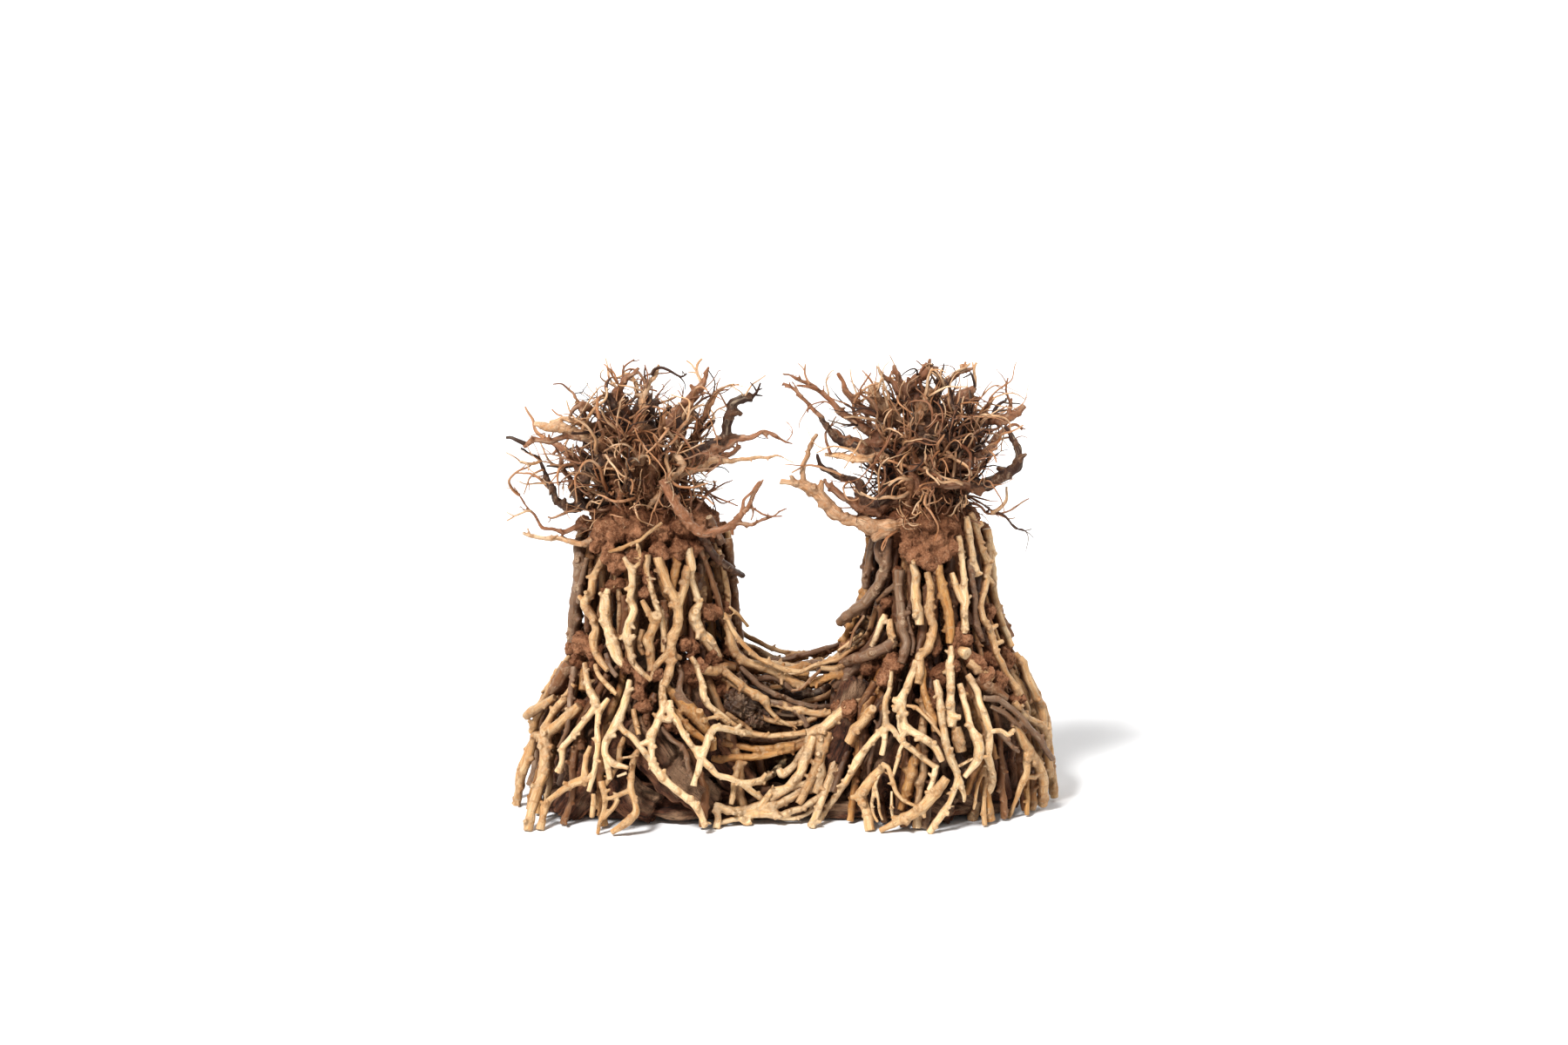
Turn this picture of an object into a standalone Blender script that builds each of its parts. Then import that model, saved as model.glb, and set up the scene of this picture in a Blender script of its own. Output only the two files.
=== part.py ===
"""Ornamental dry root: two hollow trunks of glued twigs on a driftwood log, each under a root crown.

Frame: origin at the bottom centre of the bounding box, +X along the length, +Z up.
All tables are in millimetres; objects are built in metres.
"""
import math

import bmesh
import bpy
import numpy as np
from mathutils import Vector, noise

# ---------------------------------------------------------------- driving dimensions (mm)
MM = 0.001
LEFT_X = -72.0
RIGHT_X = 80.0
DEPTH_RATIO = 0.88
CLEARANCE = 0.8
FOOT = 0.5
FLOOR_SHARE = 0.4
CHAIN_STEP = 3.0
RING_STEP = 3
TWIG_SIDES = 6
ROOT_SIDES = 6
SETTLE_STEPS = 240
PAIR_EVERY = 20
PAIR_REACH = 6.0
JOIN_REACH = 2.5
LUMP_MARGIN = 4.8
COLLAR_BASE = 150.0
COLLAR_TOP = 170.5
LOG_TOP = 46.0
SOLE_HEIGHT = 7.0

# trunk skin: (height, radius)
SKIN = {
    "L": [(0, 78), (20, 75), (40, 69), (60, 62), (75, 55), (90, 47), (100, 45), (150, 41), (185, 38)],
    "R": [(0, 70), (30, 68), (50, 65), (70, 58), (85, 50), (100, 42), (120, 36), (140, 33), (170, 29)],
}

MATERIALS = {
    "driftwood": ((0.16, 0.085, 0.055), 0.85),
    "heartwood": ((0.25, 0.075, 0.035), 0.75),
    "twig_tan": ((0.62, 0.42, 0.22), 0.6),
    "twig_cream": ((0.76, 0.60, 0.40), 0.6),
    "twig_grey": ((0.36, 0.27, 0.20), 0.8),
    "filler": ((0.30, 0.16, 0.10), 0.9),
    "root_brown": ((0.30, 0.17, 0.09), 0.8),
    "root_dark": ((0.10, 0.06, 0.04), 0.85),
}

# Twigs standing on a trunk's skin: name, material, trunk, arms.
# Each station of an arm is (bearing from the front in degrees, height, lift off the skin, radius).
TRUNK_TWIGS = [
    ("left_waist_grey", "twig_grey", "L", [
        [(-84, 147, 0, 3.4), (-72, 138, 0, 3.7), (-70, 127, 0, 3.7), (-78, 115, 0, 4), (-80, 103, 0, 3.7),
         (-78, 96, 0, 3.2)]]),
    ("left_waist_kinked", "twig_tan", "L", [
        [(-41, 148, 0, 2.2), (-47, 134, 1, 2.6), (-49, 127, 1, 2.8), (-55, 119, 2, 3.1), (-46, 112, 1, 2.8),
         (-42, 106, 1, 2.6), (-43, 98, 1, 2.8), (-36, 91, 1, 2.4), (-28, 86, 2, 2)]]),
    ("left_waist_knob", "twig_cream", "L", [
        [(-34, 129, 0, 2.4), (-36, 118, 0, 3.2), (-33, 110, 0, 3.4), (-28, 102, 0, 3.4), (-23, 95, 0, 3.6)]]),
    ("left_waist_slim", "twig_cream", "L", [
        [(-20, 148, 0, 1.8), (-14, 142, 1, 2.3), (-14, 134, 1, 2.2), (-15, 126, 1, 2.2), (-12, 120, 1, 2.4),
         (-16, 112, 1, 2.3), (-17, 106, 1, 2.7), (-15, 99, 1, 2.4), (-13, 91, 1, 2.1)]]),
    ("left_waist_sawn", "twig_cream", "L", [
        [(2, 117, 0, 3.2), (0, 108, 0, 2.6), (-2, 103, 0, 3.2), (0, 96, 0, 2.8), (0, 90, 0, 2.7)],
        [(-6, 124, 0, 1.7), (-2, 119, 0, 2.1), (1, 114, 0, 2.4)]]),
    ("left_waist_fork", "twig_tan", "L", [
        [(5, 148, 1, 3), (8, 141, 1, 3), (12, 134, 1, 2.7), (17, 125, 1, 2.9), (18, 115, 1, 3),
         (16, 107, 1, 3), (14, 99, 1, 2.9), (13, 92, 1, 2.6), (10, 85, 1.5, 2.3)],
        [(28, 147, 1, 2.5), (26, 138, 1, 2.6), (22, 130, 1, 2.6), (18, 122, 1, 2.7)],
        [(14, 99, 1, 2.1), (8, 94, 1, 2), (4, 88, 1, 1.7)]]),
    ("left_waist_pale", "twig_cream", "L", [
        [(33, 139, 0, 2.3), (34, 130, 0, 2.2), (37, 122, 0, 2), (33, 115, 0, 2.6), (36, 107, 0, 2.8),
         (40, 101, 0, 2.6), (43, 94, 0, 2.2)]]),
    ("left_waist_side", "twig_tan", "L", [
        [(104, 148, 0, 3.2), (98, 134, 0, 3), (106, 118, 0, 3.4), (100, 104, 0, 3.1), (108, 90, 0, 3)]]),
    ("left_waist_back_fork", "twig_tan", "L", [
        [(150, 147, 0, 3), (158, 132, 0, 3), (152, 116, 0, 3.3), (160, 102, 0, 3), (154, 89, 0, 2.8)],
        [(178, 146, 0, 2.2), (170, 132, 0, 2.3), (158, 120, 0, 2.5)]]),
    ("left_waist_back_grey", "twig_grey", "L", [
        [(-126, 147, 0, 3.4), (-134, 130, 0, 3.6), (-128, 112, 0, 3.6), (-136, 96, 0, 3.2)]]),
    ("right_waist_branch", "twig_grey", "R", [
        [(-52, 147, 0, 3), (-48, 140, 0, 3.3), (-50, 133, 0, 3.3), (-57, 125, 1, 3.3), (-66, 117, 3, 3.2),
         (-76, 109, 6, 3)]]),
    ("right_waist_forked", "twig_grey", "R", [
        [(-30, 138, 0, 3.2), (-32, 128, 0, 3.2), (-27, 119, 0, 2.8), (-23, 112, 0, 3), (-21, 105, 0, 3),
         (-18, 98, 0, 3), (-20, 90, 0, 2.6)]]),
    ("right_waist_cream", "twig_cream", "R", [
        [(-19, 148, 0, 2.4), (-16, 140, 0, 2.5), (-14, 132, 0, 2.8), (-13, 124, 0, 3), (-10, 116, 0, 3.2),
         (-9, 110, 0, 2.7)]]),
    ("right_waist_middle", "twig_tan", "R", [
        [(-4, 139, 0, 2.2), (0, 131, 0, 2.3), (-1, 124, 0, 2.6), (-1, 117, 0, 2.9), (2, 108, 0, 2.6),
         (-1, 102, 0, 2.7), (-7, 94, 0, 2.8), (-8, 86, 0, 2.5)]]),
    ("right_waist_brown", "twig_tan", "R", [
        [(8, 143, 0, 2.3), (9, 135, 0, 2.6), (13, 126, 0, 3), (15, 117, 0, 3), (15, 107, 0, 2.7)]]),
    ("right_waist_long", "twig_grey", "R", [
        [(31, 148, 0, 2.1), (31, 136, 0, 2.2), (28, 124, 0, 2.4), (29, 113, 0, 2.3), (27, 104, 0, 2.2)]]),
    ("right_waist_rim", "twig_tan", "R", [
        [(58, 148, 1, 2.4), (66, 140, 1, 2.6), (60, 131, 1, 2.5), (48, 121, 2, 2), (48, 112, 2, 1.9),
         (50, 102, 2, 2), (49, 93, 2, 2), (50, 84, 2, 2.1), (54, 76, 1, 2.4), (57, 69, 1, 2.4)]]),
    ("right_waist_back", "twig_tan", "R", [
        [(112, 147, 0, 3), (120, 130, 0, 3), (112, 112, 0, 3.2), (118, 94, 0, 3)],
        [(138, 145, 0, 2.2), (132, 132, 0, 2.2), (118, 120, 0, 2.4)]]),
    ("right_waist_back_grey", "twig_grey", "R", [
        [(-150, 147, 0, 3.2), (-142, 130, 0, 3.2), (-150, 112, 0, 3.4), (-142, 94, 0, 3)]]),
    ("left_skirt_thick_leg", "twig_tan", "L", [
        [(-42, 64, 0, 3), (-49, 58, 0, 3.2), (-58, 50, 0, 3.6), (-60, 43, 0, 4.2), (-57, 35, 0, 3.6),
         (-53, 27, 1, 3.3), (-52, 18, 5, 3.1), (-49, 9, 11, 2.9), (-46, FOOT, 16, 2.7)],
        [(-54, 72, 0, 2.3), (-58, 63, 0, 2.4), (-64, 54, 0, 2.5), (-64, 46, 0, 2.6)],
        [(-64, 46, 0, 2.6), (-75, 42, 0, 2.3), (-75, 30, 0, 2.5), (-77, 18, 0, 2.4), (-81, 9, 0, 2.4),
         (-85, FOOT, 0, 2.4)]]),
    ("left_skirt_knotted", "twig_tan", "L", [
        [(-31, 44, -2, 1.7), (-32, 37, -2, 1.8), (-31, 29, -1, 2.5), (-38, 25, 0, 2), (-43, 18, 3, 1.9),
         (-45, 11, 6, 2.2), (-44, FOOT, 10, 2.3)]]),
    ("left_skirt_cream_fork", "twig_cream", "L", [
        [(-49, 86, 0, 1.9), (-42, 80, 1, 2), (-36, 74, 1, 2.1), (-31, 68, 1, 2.4), (-34, 61, 1, 2.1),
         (-41, 50, 1, 2), (-44, 42, 1, 1.9), (-45, 31, 1, 2)],
        [(-24, 72, 1, 1.4), (-28, 66, 1, 1.6), (-27, 57, 1, 1.6), (-26, 48, 1, 1.6), (-25, 37, 1, 1.6),
         (-27, 23, 1, 1.6)]]),
    ("left_skirt_white_fork", "twig_cream", "L", [
        [(-14, 80, 1, 2), (-15, 70, 1, 2.5), (-17, 62, 1, 3), (-19, 56, 1, 2.4), (-22, 48, 1, 2.4),
         (-21, 40, 1, 2), (-16, 36, 1, 1.9)],
        [(-17, 61, 1, 2.4), (-12, 55, 1, 2), (-6, 50, 1, 2), (-3, 44, 1, 1.9)]]),
    ("left_skirt_front_leg", "twig_cream", "L", [
        [(7, 82, 0, 2), (6, 74, 0, 2.2), (5, 64, 0, 2.4), (1, 56, 0, 2.4), (1, 46, 0, 2.2), (2, 37, 0, 2.4),
         (7, 29, 0, 2.3), (14, 21, 0, 2.3), (19, 13, 0, 2.2), (21, FOOT, 0, 2.2)]]),
    ("left_skirt_split_leg", "twig_tan", "L", [
        [(-8, 42, -3, 1.9), (-9, 34, -3, 1.9), (-9, 26, -2, 2), (-6, 18, -1, 1.9), (-6, 12, 0, 2.2),
         (-10, 7, 0, 2), (-15, FOOT, 0, 1.9)],
        [(-9, 25, -2, 1.6), (-15, 20, -1, 1.4), (-19, 14, 0, 1.3), (-21, 9, 0, 1.4)],
        [(-22, 28, 0, 1.5), (-20, 20, 0, 1.5), (-21, 10, 0, 1.5), (-22, FOOT, 0, 1.2)]]),
    ("left_skirt_antler", "twig_cream", "L", [
        [(11, 67, 1, 2.2), (14, 59, 1, 1.8), (18, 49, 1, 1.8), (23, 41, 1, 2.6), (28, 49, 1, 2.2),
         (32, 54, 1, 2.2), (43, 53, 1, 2.3), (54, 48, 1, 2.4), (63, 46, 1, 2.2)],
        [(23, 41, 1, 2.4), (20, 35, 1, 1.9), (18, 28, 1, 1.7)],
        [(23, 41, 1, 2.2), (29, 32, 1, 1.8), (37, 28, 1, 1.8), (44, 26, 1, 2.1), (57, 24, 0, 2.2),
         (70, 25, 0, 2.2), (84, 26, 0, 2.2)]]),
    ("left_skirt_back_leg", "twig_tan", "L", [
        [(-120, 84, 0, 3), (-128, 66, 0, 3.2), (-122, 46, 0, 3.6), (-130, 26, 0, 3.2), (-126, FOOT, 0, 3)],
        [(-100, 70, 0, 2.2), (-112, 56, 0, 2.4), (-122, 44, 0, 2.6)]]),
    ("left_skirt_back_fork", "twig_cream", "L", [
        [(168, 84, 0, 2.6), (176, 64, 0, 2.8), (168, 44, 0, 3.2), (178, 24, 0, 2.6), (172, FOOT, 0, 2.4)],
        [(168, 44, 0, 2.6), (154, 28, 0, 2.3), (148, 10, 0, 2.1)]]),
    ("left_skirt_back_side", "twig_grey", "L", [
        [(124, 84, 0, 2.8), (116, 64, 0, 3), (124, 44, 0, 3), (114, 24, 0, 2.8), (120, FOOT, 0, 2.6)]]),
    ("right_skirt_cream_fork", "twig_cream", "R", [
        [(-10, 91, 1, 2), (-12, 84, 1, 2.2), (-15, 76, 1, 2.5), (-17, 70, 1, 3), (-14, 62, 1, 2.4),
         (-11, 57, 1, 2.6), (-5, 53, 1, 2.6), (1, 49, 1, 2.1)]]),
    ("right_skirt_crossing", "twig_cream", "R", [
        [(-25, 84, 0, 1.7), (-24, 76, 0, 1.7), (-25, 68, 0, 1.9), (-23, 58, 0, 2), (-18, 55, 0, 1.8),
         (-13, 49, 0, 1.7), (-7, 44, 0, 1.7), (-1, 39, 0, 1.6)],
        [(-23, 58, 0, 2), (-29, 49, 0, 2.1), (-35, 39, 0, 2.1), (-40, 29, 0, 2.1), (-46, 18, 1, 2.1),
         (-51, 10, 2, 2.1), (-56, FOOT, 2, 2.1)]]),
    ("right_skirt_knee_leg", "twig_tan", "R", [
        [(-23, 36, 0, 2.2), (-27, 30, 0, 2.7), (-32, 23, 0, 3), (-34, 18, 0, 3.4), (-31, 12, 0, 2.9),
         (-29, 7, 1, 2.9), (-27, FOOT, 3, 2.9)]]),
    ("right_skirt_web_leg", "twig_tan", "R", [
        [(4, 27, 0, 2.6), (0, 21, 0, 2.8), (-4, 15, 0, 3.2), (-10, 9.5, 0, 3.2), (-16, 6, 1, 2.2),
         (-21, FOOT, 4, 1.6)]]),
    ("right_skirt_white_post", "twig_cream", "R", [
        [(3, 80, 0, 2.2), (5, 70, 0, 2.4), (6, 60, 0, 2.4), (7, 50, 0, 2.5), (9, 41, 0, 2.6), (11, 33, 0, 2.4),
         (13, 25, 0, 2.2), (10, 15, 0, 1.9), (4, 9, 0, 2.3), (-1, FOOT, 0, 2.1)]]),
    ("right_skirt_flat_post", "twig_cream", "R", [
        [(17, 79, 0, 2), (18, 71, 0, 2), (19, 62, 0, 2.1), (21, 54, 0, 3), (22, 46, 0, 3.2), (21, 38, 0, 2.4),
         (17, 33, 0, 2)]]),
    ("right_skirt_flared_leg", "twig_tan", "R", [
        [(23, 83, 0, 2.1), (26, 77, 0, 2.1), (27, 69, 0, 2.1), (29, 61, 0, 2.2), (30, 53, 0, 2.3),
         (28, 44, 0, 2.8), (30, 34, -4, 2.2), (33, 24, -8, 2.8), (33, 15, -14, 2.6), (31, 8, -20, 2.4),
         (30, FOOT, -23, 3)]]),
    ("right_skirt_round_leg", "twig_tan", "R", [
        [(44, 58, 0, 2), (50, 48, 0, 2.6), (56, 38, 0, 3), (64, 28, 0, 3.2), (68, 18, 0, 3.2), (72, 9, -2, 3.2),
         (76, FOOT, -4, 3.2)],
        [(54, 36, 0, 2.1), (54, 27, -2, 1.9), (52, 17, -6, 1.7), (50, 8, -10, 1.6), (50, FOOT, -13, 1.6)]]),
    ("right_skirt_dark_arc", "twig_grey", "R", [
        [(31, 71, 2, 1.8), (38, 69, 3, 1.8), (45, 63, 4, 1.8), (51, 55, 5, 1.8), (58, 46, 5, 1.8),
         (64, 37, 5, 1.7), (70, 31, 5, 1.6)]]),
    ("right_skirt_back_leg", "twig_tan", "R", [
        [(120, 84, 0, 2.8), (128, 64, 0, 3), (120, 42, 0, 3.4), (130, 22, 0, 3), (124, FOOT, 0, 2.8)],
        [(96, 66, 0, 2.2), (108, 52, 0, 2.4), (120, 40, 0, 2.6)]]),
    ("right_skirt_back_fork", "twig_cream", "R", [
        [(-172, 84, 0, 2.6), (-164, 62, 0, 2.8), (-172, 42, 0, 3.2), (-162, 22, 0, 2.6), (-168, FOOT, 0, 2.4)],
        [(-172, 42, 0, 2.6), (174, 26, 0, 2.2), (168, 8, 0, 2)]]),
    ("right_skirt_back_side", "twig_grey", "R", [
        [(-124, 86, 0, 2.8), (-116, 66, 0, 3), (-124, 44, 0, 3), (-114, 24, 0, 2.8), (-120, FOOT, 0, 2.6)]]),
]

# Twigs and roots that span free space: name, material, arms of (x, y, z, radius).
FREE_TWIGS = [
    ("saddle_long_twig", "twig_tan", [
        [(-29, -24, 108, 1.4), (-26, -25, 102, 1.5), (-21, -26, 96, 1.5), (-14, -27, 90, 1.5),
         (-8, -27, 87, 1.5), (0, -26, 83.5, 1.4), (9, -25, 82, 1.3), (18, -24, 85, 1.2), (30, -23, 88.5, 1.3),
         (40, -22, 95, 1.3)]]),
    ("saddle_main_twig", "twig_tan", [
        [(-33, -16, 116, 2.6), (-30, -19, 106, 2.8), (-29, -21, 99, 2.8), (-27, -22, 91, 2.9),
         (-20, -22, 86, 2.8), (-12, -22, 84, 2.6), (-4, -22, 80, 2.6), (5, -22, 76, 2.5), (12, -22, 72.5, 2.2)]]),
    ("saddle_grey_twig", "twig_grey", [
        [(-24, -24, 82, 1.8), (-18, -26, 78, 1.8), (-13, -27, 73.5, 1.8), (-5, -28, 69, 1.7), (4, -28, 65.5, 1.7),
         (12, -27, 63, 1.8), (20, -25, 61.5, 1.7), (27, -23, 61.5, 1.6)]]),
    ("saddle_tan_twig", "twig_tan", [
        [(-33, -31, 84, 2.4), (-26, -32, 78, 2.4), (-18, -33, 72, 2.4), (-12, -33, 68, 2.4), (-8, -33, 62, 1.6),
         (-2, -33, 56, 1.2), (5, -33, 53.5, 1.1), (10, -32, 53.5, 1)]]),
    ("saddle_junction", "twig_cream", [
        [(14, -33, 49, 3), (22, -33, 52, 3.2), (29, -32, 57, 3.6), (37, -30, 63, 3.8), (44, -28, 69, 3.9)],
        [(14, -33, 49, 3), (12, -35, 41, 3), (8, -36, 34, 2.8), (2, -37, 29, 2.6), (-2, -38, 27, 2.2)],
        [(20, -33, 50, 3), (20, -37, 40, 3.3), (20, -39, 30, 3.3), (18, -41, 22, 3)]]),
    ("saddle_foot_web", "twig_cream", [
        [(-36, -52, 6, 2.4), (-35, -50, 12, 2.2), (-28, -47, 10, 2.4), (-20, -45, 9.5, 2.8), (-13, -44, 11, 2.8),
         (-5, -43, 10, 2.6), (4, -42, 14, 2.6), (11, -40, 17.5, 2.3)],
        [(-22, -46, 5.5, 2.4), (-14, -45, 8, 2.6), (-5, -45, 6, 2.6), (6, -45, 9, 2), (15, -45, 13, 1.6)]]),
    ("saddle_broad_branch", "twig_grey", [
        [(52, -22, 99, 3.2), (46, -22, 92, 3.6), (39, -22, 84, 3.8), (33, -22, 78, 3.8), (27, -22, 72.5, 3)],
        [(33, -22, 78, 2.4), (31, -23, 70, 2.2), (29, -23, 66, 1.9)]]),
    ("left_side_root", "root_brown", [
        [(-62, -33, 182, 4), (-57, -36, 174, 4.4), (-50, -38, 166, 4.2), (-43, -38, 162.5, 3.4),
         (-34, -38, 164, 3), (-27, -38, 167.5, 2.6), (-20, -38, 177, 1.8), (-15, -38, 186, 1.3), (-11, -38, 192, 0.9)],
        [(-27, -38, 167.5, 2), (-16, -38, 167, 1.4), (-7, -38, 171, 1.1), (2, -38, 176, 0.8)]]),
    ("right_glued_root", "root_brown", [
        [(-2, -14, 186, 2), (12, -15, 183, 3.1), (19, -16, 179, 3.8), (24, -17, 173.5, 4.4), (31, -18, 168, 4.2),
         (41, -19, 164, 4.4)],
        [(12, -15, 183, 2), (11, -14, 191, 1.6), (14, -13, 203, 1.3)]]),
]

# Crown roots that grow out of a core: crown, arms of (x, y, z, radius).
CROWN_CORES = {
    "left_crown": [(172, -75, 24), (182, -76, 24), (195, -78, 22), (208, -78, 18), (220, -77, 13), (232, -76, 7)],
    "right_crown": [(172, 76, 22), (186, 77, 24), (200, 78, 23), (214, 78, 20), (226, 76, 14), (236, 74, 8)],
}
CROWN_ROOTS = {
    "left_crown": [
        [(-86, -5, 220, 4), (-92, -6, 231, 3), (-87, -8, 240, 2), (-79, -8, 248, 1.2)],
        [(-75, -4, 224, 4), (-79, -6, 234, 3), (-73, -6, 243, 2), (-68, -4, 249, 1.2)],
        [(-66, -4, 212, 4), (-56, -4, 224, 3), (-47, -5, 236, 2.3), (-41, -6, 248, 1)],
        [(-88, -8, 210, 3.6), (-101, -11, 223, 2.8), (-110, -12, 229, 2), (-117, -12, 221, 1.5)],
        [(-66, -10, 196, 4.5), (-48, -14, 200, 3.6), (-34, -14, 206, 3), (-20, -14, 211, 2), (-6, -14, 212, 1.3),
         (5, -14, 207, 0.8)],
        [(-84, -8, 190, 5), (-100, -12, 197, 4.4), (-111, -14, 188, 3.2), (-110, -14, 177, 2)],
        [(-80, 10, 200, 4.6), (-90, 32, 212, 3), (-97, 48, 222, 1.6)],
        [(-70, 10, 204, 4.6), (-60, 36, 214, 3), (-50, 54, 210, 1.5)],
        [(-88, 6, 182, 4.2), (-112, 22, 190, 3), (-132, 30, 200, 1.4)],
        [(-64, 8, 184, 4.2), (-44, 26, 186, 2.8), (-24, 34, 196, 1.4)],
        [(-64, -10, 206, 3.4), (-50, -14, 206, 3), (-38, -15, 210, 3), (-32, -15, 217, 3), (-30, -15, 227, 3),
         (-25, -15, 231, 2.8), (-17, -15, 232, 2.3)],
        [(-88, -8, 204, 4), (-104, -12, 208, 3), (-120, -14, 215, 3), (-129, -14, 216.5, 2.6), (-136, -14, 218, 1.7)],
        [(-112, -13, 211.5, 2.2), (-125, -15, 209, 1.9), (-135, -16, 210, 2), (-142, -16, 206, 1.6)],
        [(-88, -6, 180, 4), (-104, -8, 174, 3.2), (-118, -10, 172, 2.8), (-125, -11, 175, 2.4), (-129, -11, 186, 1.9),
         (-133, -11, 197, 1.3), (-144, -11, 204, 0.9)],
        [(-112, -9, 172.5, 2.4), (-117, -10, 184, 1.9), (-122, -12, 196, 1.4), (-125, -12, 205, 1)],
    ],
    "right_crown": [
        [(66, -4, 214, 4), (50, -6, 222, 3), (40, -8, 226, 2.6), (34, -8, 233, 2.1), (29, -8, 245, 1.4)],
        [(62, -6, 206, 4), (40, -9, 216, 2.8), (28, -10, 225, 2), (15, -10, 238, 1.5), (-1, -10, 245, 0.9)],
        [(60, -8, 182, 4.2), (46, -10, 174, 3.2), (40, -11, 184, 2.8), (30, -12, 189, 2.2), (20, -12, 194, 1.8),
         (18, -12, 202, 1.3)],
        [(70, -3, 224, 4.2), (67, -4, 234, 3.2), (74, -4, 242, 2.8), (84, -4, 246, 1.8)],
        [(62, -6, 220, 4), (51, -7, 228, 4), (49, -7, 238, 3.2)],
        [(82, -3, 218, 4), (92, -4, 226, 3.8), (98, -5, 231, 3.4), (104, -6, 237, 2)],
        [(88, -4, 208, 4), (104, -6, 216, 3), (119, -8, 220, 2.6), (131, -9, 227, 1.7)],
        [(84, -6, 188, 4.6), (98, -10, 183, 4.2), (110, -14, 183, 4), (120, -16, 188, 3.6), (127, -17, 195, 3.1),
         (127, -17, 204, 2.4), (123, -16, 211, 1.9), (120, -15, 217, 1.4)],
        [(80, 10, 200, 4.6), (90, 32, 214, 3), (94, 50, 224, 1.6)],
        [(70, 10, 196, 4.6), (58, 34, 206, 3), (50, 52, 202, 1.5)],
        [(88, 8, 188, 4.2), (110, 24, 194, 2.8), (124, 36, 206, 1.4)],
    ],
}

# Solid lumps as rings along an axis: (centre x, y, z, half width, half height or depth).
LOG_RINGS = [(-130, 14, 17, 9, 10), (-120, 13, 20, 19, 19), (-100, 12, 22, 23, 22), (-70, 13, 22, 24, 22),
             (-35, 14, 20, 22, 20), (0, 13, 19, 22, 19), (35, 13, 20, 23, 20), (75, 12, 22, 24, 22),
             (105, 12, 21, 22, 20), (122, 12, 19, 17, 17), (130, 12, 17, 8, 9)]
STUMPS = {
    "left_stump": [(-86, 8, LOG_TOP + 2, 20, 16), (-84, 6, 62, 21, 18), (-77, 5, 78, 19, 17), (-73, 4, 88, 15, 13)],
    "right_stump": [(92, 8, LOG_TOP + 2, 20, 16), (90, 6, 62, 20, 17), (86, 5, 76, 17, 15), (82, 4, 87, 13, 12)],
}
HEARTWOOD_RINGS = [(116, -24, 14, 7, 5), (114, -26, 24, 9, 6), (110, -27, 40, 10, 6), (106, -28, 54, 8, 5)]
WAISTS = {
    "left_waist_filler": [(LEFT_X, 1, 89.5, 24, 20), (LEFT_X - 2, 0, 102, 31, 26), (LEFT_X - 1, 0, 118, 28, 24),
                          (LEFT_X + 2, 0, 134, 29, 25), (LEFT_X, 0, 148.8, 31, 27)],
    "right_waist_filler": [(RIGHT_X, 1, 88.5, 20, 17), (RIGHT_X + 1, 0, 102, 26, 22), (RIGHT_X, 0, 120, 21, 18),
                           (RIGHT_X - 1, 0, 136, 21, 18), (RIGHT_X - 1, 0, 148.8, 23, 19)],
}
COLLARS = {
    "left_collar": [(LEFT_X, 0, COLLAR_BASE, 37, 32), (LEFT_X, 0, 156, 39, 34), (LEFT_X - 1, 0, 164, 37, 32),
                    (LEFT_X - 2, 0, COLLAR_TOP, 30, 26)],
    "right_collar": [(RIGHT_X, 0, COLLAR_BASE, 28, 24), (RIGHT_X - 1, 0, 156, 30, 26), (RIGHT_X - 2, 0, 164, 30, 26),
                     (RIGHT_X - 3, 0, COLLAR_TOP, 25, 22)],
}


# ---------------------------------------------------------------- chains
def skin_radius(trunk, height):
    table = SKIN[trunk]
    return float(np.interp(height, [row[0] for row in table], [row[1] for row in table]))


def skin_point(trunk, bearing, height, lift):
    reach = skin_radius(trunk, height) + lift
    angle = math.radians(bearing)
    centre = LEFT_X if trunk == "L" else RIGHT_X
    return (centre + reach * math.sin(angle), -DEPTH_RATIO * reach * math.cos(angle), height)


def trunk_arm(trunk, stations):
    return [skin_point(trunk, b, h, lift) + (radius,) for b, h, lift, radius in stations]


def sample_arm(stations):
    """Catmull-Rom curve through the stations, cut into equal steps; rows are x, y, z, radius."""
    rows = np.array(stations, dtype=float)
    padded = np.vstack([2 * rows[0] - rows[1], rows, 2 * rows[-1] - rows[-2]])
    padded[[0, -1], 3] = rows[[0, -1], 3]
    fine = []
    for i in range(len(rows) - 1):
        a, b, c, d = padded[i:i + 4]
        for t in np.linspace(0, 1, 12, endpoint=False):
            fine.append(0.5 * (2 * b + (c - a) * t + (2 * a - 5 * b + 4 * c - d) * t ** 2
                               + (3 * b - a - 3 * c + d) * t ** 3))
    fine.append(rows[-1])
    fine = np.array(fine)
    lengths = np.concatenate([[0], np.cumsum(np.linalg.norm(np.diff(fine[:, :3], axis=0), axis=1))])
    count = max(3, int(round(lengths[-1] / CHAIN_STEP)) + 1)
    where = np.linspace(0, lengths[-1], count)
    return np.column_stack([np.interp(where, lengths, fine[:, k]) for k in range(4)])


def gather_chains():
    chains = []
    for name, material, trunk, arms in TRUNK_TWIGS:
        for arm in arms:
            chains.append({"node": name, "rows": sample_arm(trunk_arm(trunk, arm)), "free": True})
    for name, material, arms in FREE_TWIGS:
        for arm in arms:
            chains.append({"node": name, "rows": sample_arm(arm), "free": True})
    for name, arms in CROWN_ROOTS.items():
        for arm in arms:
            chains.append({"node": name, "rows": sample_arm(arm), "free": False})
    return chains


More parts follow.
